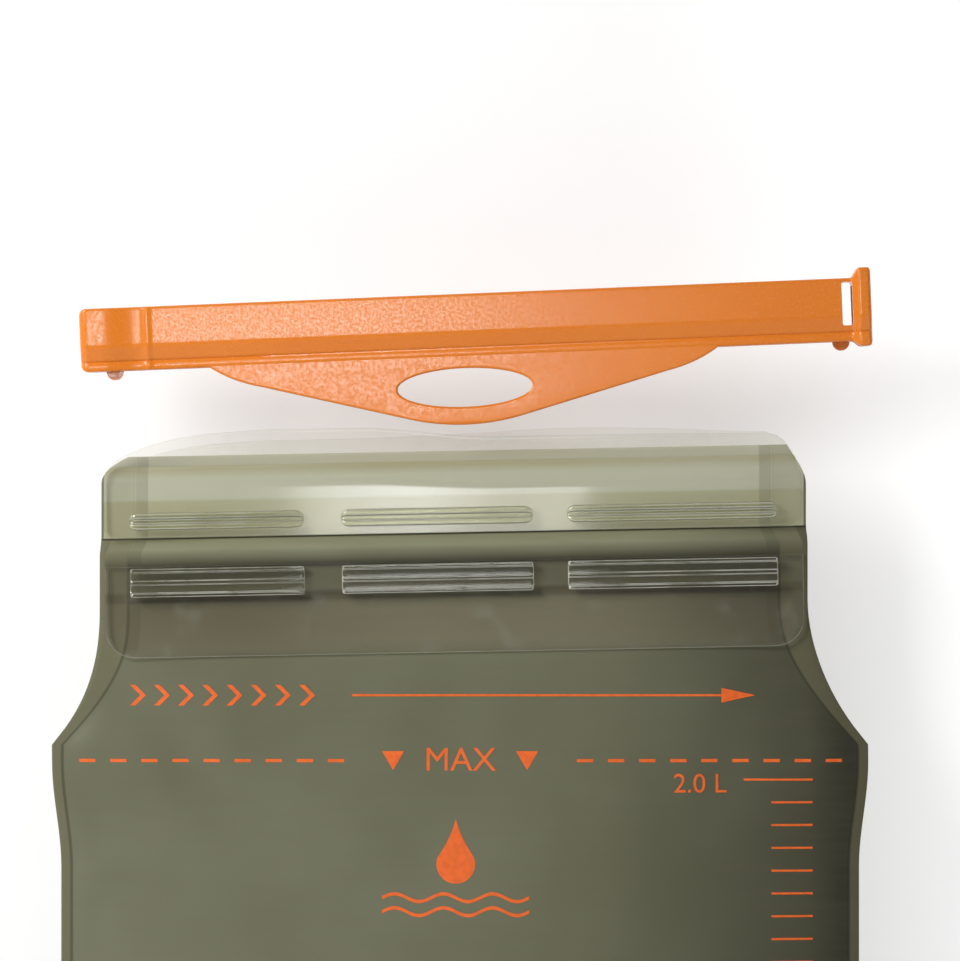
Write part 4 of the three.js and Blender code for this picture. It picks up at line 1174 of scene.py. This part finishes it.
def arrow_marks(work):
    """A row of chevrons and a long arrow to the right."""
    z, thick, high = ARROW_Z, 1.3, 2.4
    bar_mark(work, ARROW_TAIL_X, ARROW_HEAD_X, z, 0.5)
    polygon(work, [(ARROW_HEAD_X, z - 1.7), (ARROW_TIP_X, z), (ARROW_HEAD_X, z + 1.7)])
    for i in range(8):
        x = -76.5 + CHEVRON_PITCH * i
        tip = x + thick + high
        polygon(work, [(x, z - high), (x + thick, z - high), (tip, z), (tip - thick, z)])
        polygon(work, [(tip - thick, z), (tip, z), (x + thick, z + high), (x, z + high)])


def fill_line_marks(work):
    """A dashed line across the bag, with a word between two triangles in its gap."""
    z, half_gap, high = FILL_LINE_Z, 27, 2.2
    for i in range(25):
        x = -88.2 + DASH_PITCH * i
        if abs(x + DASH_LENGTH / 2) > half_gap:
            bar_mark(work, x, x + DASH_LENGTH, z, 0.75)
    text_mark(work, "MAX", 5.4, 0, z)
    for x in (-15.5, 15.5):
        polygon(work, [(x, z - high), (x + 2.6, z + high), (x - 2.6, z + high)])


def scale_marks(work):
    """Ticks every 50 ml from two litres down, the longer ones with a figure at their left."""
    text_mark(work, "2.0 L", FIGURES_HEIGHT, FIGURES_X, FIRST_TICK_Z - 1.1)
    for i in range(37):
        z = FIRST_TICK_Z - TICK_PITCH * i
        half_litre = i % 10 == 0
        bar_mark(work, LONG_TICK_X if half_litre else SHORT_TICK_X, TICK_END_X, z, 0.5)
        if half_litre and i:
            text_mark(work, f"{2.0 - i / 20:.1f} L", FIGURES_HEIGHT, FIGURES_X, z)


def make_print():
    """Arrow, fill line, volume scale and emblem, laid on the front film as thin solid ink."""
    work = bmesh.new()
    arrow_marks(work)
    fill_line_marks(work)
    scale_marks(work)
    drop_emblem(work, -1, PRINT_TOP_Z - 72.5, 15)
    for fall in (83.2, 86.4):
        wave_mark(work, -18, 16, PRINT_TOP_Z - fall, 0.9, 0.8)
    for axis, low, high in ((0, -95, 95), (2, 0, 300)):
        for place in spread(low, high, MARK_GRID):
            point, normal = Vector(), Vector()
            point[axis], normal[axis] = place * MM, 1
            everything = work.verts[:] + work.edges[:] + work.faces[:]
            bmesh.ops.bisect_plane(work, geom=everything, plane_co=point, plane_no=normal)
    bmesh.ops.remove_doubles(work, verts=work.verts, dist=MERGE_DISTANCE)
    for vertex in work.verts:
        vertex.co.y = (front_face_y(vertex.co.x / MM, vertex.co.z / MM) - MARK_LIFT) * MM
    bmesh.ops.recalc_face_normals(work, faces=work.faces)
    for face in work.faces:
        if face.normal.y > 0:
            face.normal_flip()
    mesh = bpy.data.meshes.new("print_marks")
    work.to_mesh(mesh)
    work.free()
    marks = link("print_marks", mesh)
    solid = marks.modifiers.new("ink", "SOLIDIFY")
    solid.thickness = MARK_THICKNESS * MM
    solid.offset = -1
    bake(marks)
    shade(marks, 40)
    finish_piece(marks, INK, "reservoir")


# ---------- outlet, quick-connect plug and elbow ----------

FLANGE_FRONT_Y = PORT_FACE_Y - FLANGE_STEP
HOUSING_BACK_Y = FLANGE_FRONT_Y - 0.1
HOUSING_FRONT_Y = HOUSING_BACK_Y - 17
HOUSING_RADIUS = 16.0
SOCKET_RADIUS = 6.4
BORE_RADIUS = 3.2
LATCH_Y = HOUSING_BACK_Y - 9
ELBOW_BACK_Y = HOUSING_FRONT_Y - 1.2
ELBOW_FRONT_Y = ELBOW_BACK_Y - 17
ELBOW_ARM_Y = ELBOW_BACK_Y - 12
ELBOW_BORE = 1.9
PLUG_RADIUS = 6.0
RING_WIRE = 0.7


def fillet(profile, radius, steps=4):
    """Rounds a closed (along, radius) profile, except where it touches the axis."""
    out = []
    for i, corner in enumerate(profile):
        if corner[1] == 0:
            out.append(corner)
            continue
        trio = (profile[i - 1], corner, profile[(i + 1) % len(profile)])
        out += rounded(trio, radius, steps)[steps + 1:2 * (steps + 1)]
    return out


def revolve(name, profile, sides, placed, flute=None):
    """Turns a closed (along, radius) profile about an axis. placed(along, a, b) puts each point."""
    count = len(profile)
    vertices = []
    for angle in circle(sides):
        for along, radius in profile:
            r = radius + (flute(along, radius, angle) if flute else 0)
            vertices.append(placed(along, r * math.cos(angle), r * math.sin(angle)))
    off_axis = [point[1] > 0 for point in profile]
    faces = woven(sides, count, round_rows=True, round_columns=True)
    faces = [face for face in faces if off_axis[face[0] % count] or off_axis[face[3] % count]]
    return make_piece(name, vertices, faces)


def on_port(y, a, b):
    return (a, y, PORT_Z + b)


def on_arm(x, a, b):
    return (x, ELBOW_ARM_Y + a, PORT_Z + b)


def drum(name, placed, low, high, radius, sides=64):
    """A plain cylinder, for cutting and joining."""
    return revolve(name, [(low, 0), (low, radius), (high, radius), (high, 0)], sides, placed)


def housing_flutes(y, radius, angle):
    """Shallow finger grips round the housing, except under the button."""
    if radius < HOUSING_RADIUS - 0.1 or y > HOUSING_BACK_Y - 1.4:
        return 0
    away_from_button = smooth(0.5, 0.8, abs(math.remainder(angle - math.pi / 2, 2 * math.pi)))
    return -0.55 * away_from_button * max(math.cos(30 * angle), 0) ** 2


def make_flange():
    """The flange on the bag's front, with a raised ring on it and a collar through the film."""
    back = PORT_FACE_Y - 0.1
    front = FLANGE_FRONT_Y
    rim, collar, ridge = 21.0, 10.0, 0.35
    profile = [(front, BORE_RADIUS), (front, 17.0)]
    profile += [(front - ridge, 17.4), (front - ridge, 18.6), (front, 19.0)]
    profile += [(front, rim), (back, rim), (back, collar), (back + 5, collar), (back + 5, BORE_RADIUS)]
    flange = revolve("port_flange", fillet(profile, 0.35), 128, on_port)
    finish_piece(shade(flange), GREY, "reservoir", "outlet_flange")


def latch_box(name, half_width, half_thick, low, high, edge=0.0):
    """A block in the latch's plane, between two heights above the port's axis."""
    low_corner = (-half_width, LATCH_Y - half_thick, PORT_Z + low)
    high_corner = (half_width, LATCH_Y + half_thick, PORT_Z + high)
    return box_piece(name, low_corner, high_corner, edge)


def make_housing():
    """The socket's fluted body, with a slot for the latch and a window above it for the button's stem."""
    front, back = HOUSING_FRONT_Y, HOUSING_BACK_Y
    profile = [(back, BORE_RADIUS), (back, HOUSING_RADIUS)]
    profile += [(back - 1.5 * i, HOUSING_RADIUS) for i in range(1, 10)]
    profile += [(front + 1.8, HOUSING_RADIUS), (front, HOUSING_RADIUS - 1.6)]
    profile += [(front, 9.4), (front + 0.5, 9.0), (front + 0.5, SOCKET_RADIUS + 0.5)]
    profile += [(front + 1, SOCKET_RADIUS), (back - 2.5, SOCKET_RADIUS), (back - 2.5, BORE_RADIUS)]
    housing = revolve("quick_connect_housing", fillet(profile, 0.45), 240, on_port, housing_flutes)
    cut(housing, latch_box("slot", 8.7, 1.8, -14, 11.5), latch_box("window", 5, 1.8, 0, 20))
    finish_piece(shade(housing), DARK, "reservoir", "socket_housing")


def stacked(name, outline_at, low, high, rounding, placed):
    """A plate between two heights whose outline shrinks at the rounded edges. outline_at(inset) gives it."""
    quarter = [math.pi / 2 * i / 5 for i in range(6)]
    edge = [(rounding * (1 - math.sin(a)), rounding * (1 - math.cos(a))) for a in quarter]
    levels = [(low + d, inset) for d, inset in reversed(edge)] + [(high - d, inset) for d, inset in edge]
    return sweep(name, [[placed(x, y, z) for x, y in outline_at(inset)] for z, inset in levels])


def make_button():
    """Latch plate, stem and thumb pad in one moulding, with grip lines across the pad."""
    body = latch_box("button_pad", 8.4, 1.4, -9.4, 11, 0.4)
    stem = latch_box("stem", 4.6, 1.4, 9, 19, 0.3)

    def pad_outline(inset):
        right = arc((4, LATCH_Y), (4 - inset, 4 - inset), -90, 90, 20)
        return right + arc((-4, LATCH_Y), (4 - inset, 4 - inset), 90, 270, 20)

    pad = stacked("pad", pad_outline, PORT_Z + 17.9, PORT_Z + 21.3, 0.8, lambda x, y, z: (x, y, z))
    join(body, stem, pad)
    for lift in (0, 1.5):
        hole = drum("hole", on_port, LATCH_Y - 4, LATCH_Y + 4, SOCKET_RADIUS)
        move(hole, (0, 0, lift))
        cut(body, hole)
    for x in (-4, -2, 0, 2, 4):
        line = latch_box("grip_line", 0.3, 2.6, 21, 23)
        move(line, (x, 0, 0))
        cut(body, line)
    finish_piece(shade(body), ORANGE, "button", "release_button")


def wire_rings(points, radius, sides):
    """Rings round the points of a path, square to it, that don't twist along the way."""
    rings = []
    side = None
    for i, point in enumerate(points):
        ahead = (points[min(i + 1, len(points) - 1)] - points[max(i - 1, 0)]).normalized()
        guess = side if side else ahead.orthogonal()
        side = (guess - ahead * guess.dot(ahead)).normalized()
        up = ahead.cross(side)
        rings.append([point + (side * math.cos(a) + up * math.sin(a)) * radius for a in circle(sides)])
    return rings


def make_spring():
    """The coil under the latch, which is squashed when the button goes down."""
    low, high, turns, radius, wire = PORT_Z - 13.68, PORT_Z - 9.72, 4.5, 1.15, 0.22
    points = []
    for i in range(145):
        angle = 2 * math.pi * turns * i / 144
        z = mix(low, high, i / 144)
        points.append(Vector((radius * math.cos(angle), LATCH_Y + radius * math.sin(angle), z)))
    spring = sweep("return_spring", wire_rings(points, wire, 12))
    finish_piece(shade(spring, 60), STEEL, "reservoir", "button_spring")
    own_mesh(spring)


def step(middle, half, radius):
    """Four points of a square groove or collar round the plug."""
    high, low = middle + half, middle - half
    return [(high, PLUG_RADIUS), (high, radius), (low, radius), (low, PLUG_RADIUS)]


def make_plug():
    """The plug with a collar in front of the socket, and its two O-rings in their grooves."""
    inner = HOUSING_BACK_Y - 2.9
    outer = ELBOW_BACK_Y - 10.5
    rings = (inner - 3.2, ELBOW_BACK_Y - 6)
    groove, half = PLUG_RADIUS - 1.2, 0.9
    profile = [(inner, BORE_RADIUS), (inner, PLUG_RADIUS)]
    profile += step(rings[0], half, groove)
    profile += step(HOUSING_FRONT_Y - 0.6, 0.3, 8)
    profile += step(rings[1], half, groove)
    profile += [(outer, PLUG_RADIUS), (outer, BORE_RADIUS)]
    plug = revolve("hose_plug_core", fillet(profile, 0.2), 96, on_port)
    finish_piece(shade(plug), GREY, "hose_plug", "plug_core")
    middle = PLUG_RADIUS + 0.25 - RING_WIRE
    for kind, y in zip(("plug", "swivel"), rings):
        section = [(y + RING_WIRE * math.sin(a), middle + RING_WIRE * math.cos(a)) for a in circle(16)]
        seal = revolve(f"{kind}_seal", section, 96, on_port)
        finish_piece(shade(seal, 80), RUBBER, "hose_plug", f"{kind}_o_ring")


def make_elbow():
    """A hollow drum on the plug, with an arm to the right that ends in the tube's barb."""
    back, front = ELBOW_BACK_Y, ELBOW_FRONT_Y
    chamber = PLUG_RADIUS + 0.35
    inner_end = front + 2.4
    profile = [(back, chamber), (back, 9)]
    profile += [(back - 2.4, 9), (back - 2.7, 8.6), (back - 3.6, 8.6), (back - 3.9, 9)]
    profile += [(front + 1.8, 9), (front, 7.2), (front, 0), (inner_end, 0), (inner_end, chamber)]
    elbow = revolve("hose_elbow", fillet(profile, 0.7), 128, on_port)
    arm_profile = [(0, 0), (0, 5.6), (11.2, 5.6), (11.6, 5.2), (12.4, 5.2), (12.8, 5.6), (15, 5.6)]
    arm_profile += [(15, 2.7), (25, 2.7), (25, 0)]
    arm = revolve("arm", fillet(arm_profile, 0.5), 96, on_arm)
    join(elbow, arm)
    cut(elbow, drum("chamber", on_port, inner_end, back + 1, chamber, 128))
    cut(elbow, drum("bore", on_arm, 0, 26, ELBOW_BORE))
    finish_piece(shade(elbow), DARK, "hose", "swivel_elbow")


# ---------- drink tube ----------

TUBE_OUTER = 4.75
TUBE_BORE = 3.2
COIL_CENTRE_Y = -150.0
COIL_INNER = 46.0
COIL_PITCH = 12.5
COIL_START = -20.0
COIL_SWEEP = 790.0
COIL_END_Y = COIL_CENTRE_Y - COIL_INNER - COIL_PITCH * COIL_SWEEP / 360
VALVE_X = -27.0
VALVE_Z = 10.0


def tube_points():
    """Off the elbow to the right, down inside the coil, out along a flat spiral on the ground, and a
    straight tail to the left that rises to the valve."""
    y, z = ELBOW_ARM_Y, PORT_Z
    drop = ((15.6, 0, 0), (24, 0, 0), (32, 0, 0), (45, -3.5, -1.5), (54, -13, -5), (57, -27, -11))
    drop += ((55, -47, -21), (50, -68, -28), (47, -87, -33), (45.8, -103, -38))
    points = [Vector((x, y + ahead, z + up)) for x, ahead, up in drop]
    steps, ground = 44, TUBE_OUTER + 0.3
    for i in range(steps + 1):
        swept = COIL_SWEEP * i / steps
        angle = math.radians(COIL_START - swept)
        radius = COIL_INNER + COIL_PITCH * swept / 360
        height = ground + 1 if i == 0 else ground
        points.append(Vector((radius * math.cos(angle), COIL_CENTRE_Y + radius * math.sin(angle), height)))
    points += [Vector((VALVE_X + along, COIL_END_Y, VALVE_Z)) for along in (5, 0, -7, -14)]
    return points


def centripetal(points, per_span):
    """A smooth curve through the points that doesn't overshoot (centripetal Catmull-Rom)."""
    ends = [points[0] * 2 - points[1]] + points + [points[-1] * 2 - points[-2]]
    out = []
    for i in range(len(points) - 1):
        a, b, c, d = ends[i:i + 4]
        before, between, after = ((q - p).length ** 0.5 for p, q in ((a, b), (b, c), (c, d)))
        start = ((b - a) / before - (c - a) / (before + between) + (c - b) / between) * between
        end = ((c - b) / between - (d - b) / (between + after) + (d - c) / after) * between
        for k in range(per_span):
            t = k / per_span
            cubic = b * 2 - c * 2 + start + end
            square = (c - b) * 3 - start * 2 - end
            out.append(cubic * t**3 + square * t**2 + start * t + b)
    return out + [points[-1]]


def make_tube():
    """The rings of the outside and, on the way back, of the bore close on one another at both ends."""
    centre = centripetal(tube_points(), 7)
    sides = 32
    rings = wire_rings(centre, TUBE_OUTER, sides) + wire_rings(centre, TUBE_BORE, sides)[::-1]
    faces = woven(len(rings), sides, round_rows=True, round_columns=True)
    tube = make_piece("hose_tube", [p for ring in rings for p in ring], faces)
    finish_piece(shade(tube, 60), TUBE, "hose", "drink_tube")


# ---------- bite valve, drawn along its own X from the tube ----------

BARREL_X = 28.0
BARREL_RADIUS = 4.2
BOSS_TOP = 8.6


def at_valve(x, y, z):
    return (VALVE_X - x, COIL_END_Y - y, VALVE_Z + z)


def flattened(share):
    return lambda x, a, b: at_valve(x, a, b * share)


def upright(z, a, b):
    return at_valve(BARREL_X + a, b, z)


def grooved(x, radius, depth=0.35):
    """Four points of a shallow ring cut into a turned profile."""
    return [(x, radius), (x + 0.3, radius - depth), (x + 0.9, radius - depth), (x + 1.2, radius)]


def make_valve():
    """The valve's body, from the tube's barb to the spout, with an upright boss for the shut-off barrel."""
    bore = ELBOW_BORE
    profile = [(1, bore), (1, 2.7), (14.6, 2.7), (14.6, 6.4), (16.6, 6.7)]
    profile += grooved(17.2, 6.8) + grooved(19.2, 7) + grooved(35.6, 7)
    profile += [(38, 7), (40, 6.4), (40, 4.2), (50, 4.2), (50, bore)]
    body = revolve("bite_valve_body", fillet(profile, 0.3), 96, at_valve)
    boss_profile = [(-7.6, 0), (-7.6, 7.2), (BOSS_TOP, 7.2), (BOSS_TOP, 0)]
    join(body, revolve("boss", fillet(boss_profile, 0.6), 96, upright))
    cut(body, drum("passage", at_valve, 16, 38, bore))
    cut(body, drum("well", upright, -5.8, BOSS_TOP + 1, BARREL_RADIUS + 0.3))
    finish_piece(shade(body), DARK, "hose", "valve_body")


def make_shutoff():
    """The barrel, bored along the valve in its open place, with a lever over the boss."""
    barrel_profile = [(-5.4, 0), (-5.4, BARREL_RADIUS), (BOSS_TOP + 1.5, BARREL_RADIUS), (BOSS_TOP + 1.5, 0)]
    barrel = revolve("shutoff_lever", fillet(barrel_profile, 0.4), 96, upright)

    def lever_outline(inset):
        hub = arc((BARREL_X, 0), (6.4 - inset, 6.4 - inset), -90, 90, 28)
        return hub + arc((BARREL_X - 14, 0), (4 - inset, 4 - inset), 90, 270, 20)

    lever = stacked("lever", lever_outline, BOSS_TOP + 0.4, BOSS_TOP + 3, 0.7, at_valve)
    join(barrel, lever)
    for along in (-15.6, -13.8, -12):
        x = BARREL_X + along
        low, high = at_valve(x + 0.35, 2.4, BOSS_TOP + 2.7), at_valve(x - 0.35, -2.4, BOSS_TOP + 4)
        cut(barrel, box_piece("grip_line", low, high))
    cut(barrel, drum("passage", at_valve, BARREL_X - 8, BARREL_X + 8, 1.8))
    finish_piece(shade(barrel), ORANGE, "shutoff", "shutoff_barrel")


def make_mouthpiece():
    """Soft sleeve over the spout that widens to a flattened bulb with a bite slit."""
    profile = [(41, 5.4), (41, 7.2), (43.4, 7.2), (44, 6.9), (49, 7), (54, 8), (60, 9), (66, 8.6), (70, 6.4)]
    profile += [(71, 0), (68.6, 0), (66.5, 5), (61, 6.8), (54, 6), (51, 5.4)]
    piece = revolve("bite_mouthpiece", fillet(profile, 1.2, 6), 96, flattened(0.82))
    low, high = at_valve(72, 4, -0.15), at_valve(69.6, -4, 0.15)
    cut(piece, box_piece("slit", low, high))
    finish_piece(shade(piece), SILICONE, "hose", "mouthpiece")


def make_cap():
    """A thin clear cap over the mouthpiece, open towards the tube."""
    profile = [(43, 9.6), (43, 11.2), (44.4, 11.2), (45, 10.9), (62, 10.9), (72, 9.8), (75.4, 6.6), (76, 0)]
    profile += [(74.6, 0), (74, 6), (71, 8.6), (62, 9.6)]
    cap = revolve("clear_dust_cap", fillet(profile, 0.8, 5), 96, flattened(0.86))
    finish_piece(shade(cap), TUBE, "cap", "dust_cap")


# ---------- stage, light and camera ----------

CAMERA_X, CAMERA_Z = 4.6, FOLD_Z + 15.3
FRAME_WIDTH = 222.4
CAMERA_DISTANCE = 1500.0
BACKDROP_Y = 34.0
CARD_Y = -900.0
SENSOR_WIDTH = 36.0


def make_quad(name, corners, material):
    made = make_piece(name, corners, [(0, 1, 2, 3)])
    made.data.materials.append(material)
    return made


def backdrop_finish():
    """A pale wall that can't be seen from behind, lit so that it stays near white."""
    f = Finish("backdrop")
    matt = f.add("ShaderNodeBsdfDiffuse", {"Color": (0.56, 0.56, 0.56, 1)})
    across = f.axis(object_place(f), "X")
    strength = f.ramp(across, 0.03, 0.16, 0.475, 0.76)
    glow = f.add("ShaderNodeEmission", {"Color": WHITE, "Strength": strength})
    wall = f.add("ShaderNodeAddShader", {0: matt, 1: glow})
    behind = f.add("ShaderNodeNewGeometry", output="Backfacing")
    return f.done(f.mixed(behind, wall, f.add("ShaderNodeBsdfTransparent")))


def floor_finish():
    f = Finish("floor")
    place = object_place(f)
    colour = f.blend(f.noise(place, 9.0, 2.0), (0.8, 0.8, 0.8, 1), (0.84, 0.84, 0.84, 1))
    return f.done(f.principled(Base_Color=colour, Roughness=0.7))


def area_light(name, place, target, size, power, only=()):
    """A soft lamp that the camera doesn't see. It lights only the named pieces, where any are named."""
    data = bpy.data.lights.new(name, "AREA")
    data.shape = "RECTANGLE"
    data.size, data.size_y = (value * MM for value in size)
    data.energy = power
    lamp = link(name, data)
    lamp.location = Vector(place) * MM
    lamp.visible_camera = False
    aim = (Vector(target) - Vector(place)).normalized()
    lamp.rotation_euler = aim.to_track_quat("-Z", "Y").to_euler()
    if only:
        group = bpy.data.collections.new(name + "_targets")
        for piece in only:
            group.objects.link(bpy.data.objects[piece])
        lamp.light_linking.receiver_collection = group


def make_world():
    """A dim even light all round, behind a nearly white background."""
    world = Finish("studio", bpy.data.worlds)
    ambient = world.add("ShaderNodeBackground", {"Color": WHITE, "Strength": 0.2})
    seen = world.add("ShaderNodeBackground", {"Color": WHITE, "Strength": 0.93})
    from_camera = world.add("ShaderNodeLightPath", output="Is Camera Ray")
    world.add("ShaderNodeOutputWorld", {"Surface": world.mixed(from_camera, ambient, seen)})
    bpy.context.scene.world = world.owner


def make_stage():
    far = 3000
    floor_corners = [(-far, -far, 0), (far, -far, 0), (far, far, 0), (-far, far, 0)]
    make_quad("floor", floor_corners, floor_finish())
    wall_corners = [(x, BACKDROP_Y, z) for x, z in ((-far, 0), (far, 0), (far, far), (-far, far))]
    wall = make_quad("backdrop", wall_corners, backdrop_finish())
    if wall.data.polygons[0].normal.y > 0:
        wall.data.flip_normals()
    make_world()
    area_light("key", (-520, -560, 640), (0, 0, 320), (380, 380), 6.2)
    neck = ["front_lip", "back_lip"]
    neck += [f"{kind}_rail_{side}" for kind in ("male", "female") for side in RAIL_SPANS]
    cards = (
        ("slider_card", -88, 386, (210, 84), 0.76, ["orange_slider"]),
        ("neck_glow", -10, 320, (110, 36), 0.045, neck),
        ("neck_window", -21, 321, (42, 3.4), 0.045, neck),
    )
    for name, x, z, size, power, painted_glints in cards:
        area_light(name, (x, CARD_Y, z), (x, 0, z), size, power, painted_glints)
    bpy.context.scene.view_settings.view_transform = "Standard"


def make_camera():
    data = bpy.data.cameras.new("camera")
    camera = link("camera", data)
    data.sensor_width = SENSOR_WIDTH
    data.lens = SENSOR_WIDTH * CAMERA_DISTANCE / FRAME_WIDTH
    data.clip_end = 20
    camera.location = Vector((CAMERA_X, -CAMERA_DISTANCE - 3, CAMERA_Z)) * MM
    camera.rotation_euler = (math.pi / 2, 0, 0)
    bpy.context.scene.camera = camera


make_films()
make_plates()
make_rails()
make_slider()
make_print()
make_flange()
make_housing()
make_button()
make_spring()
make_plug()
make_elbow()
make_tube()
make_valve()
make_shutoff()
make_mouthpiece()
make_cap()
make_stage()
make_camera()
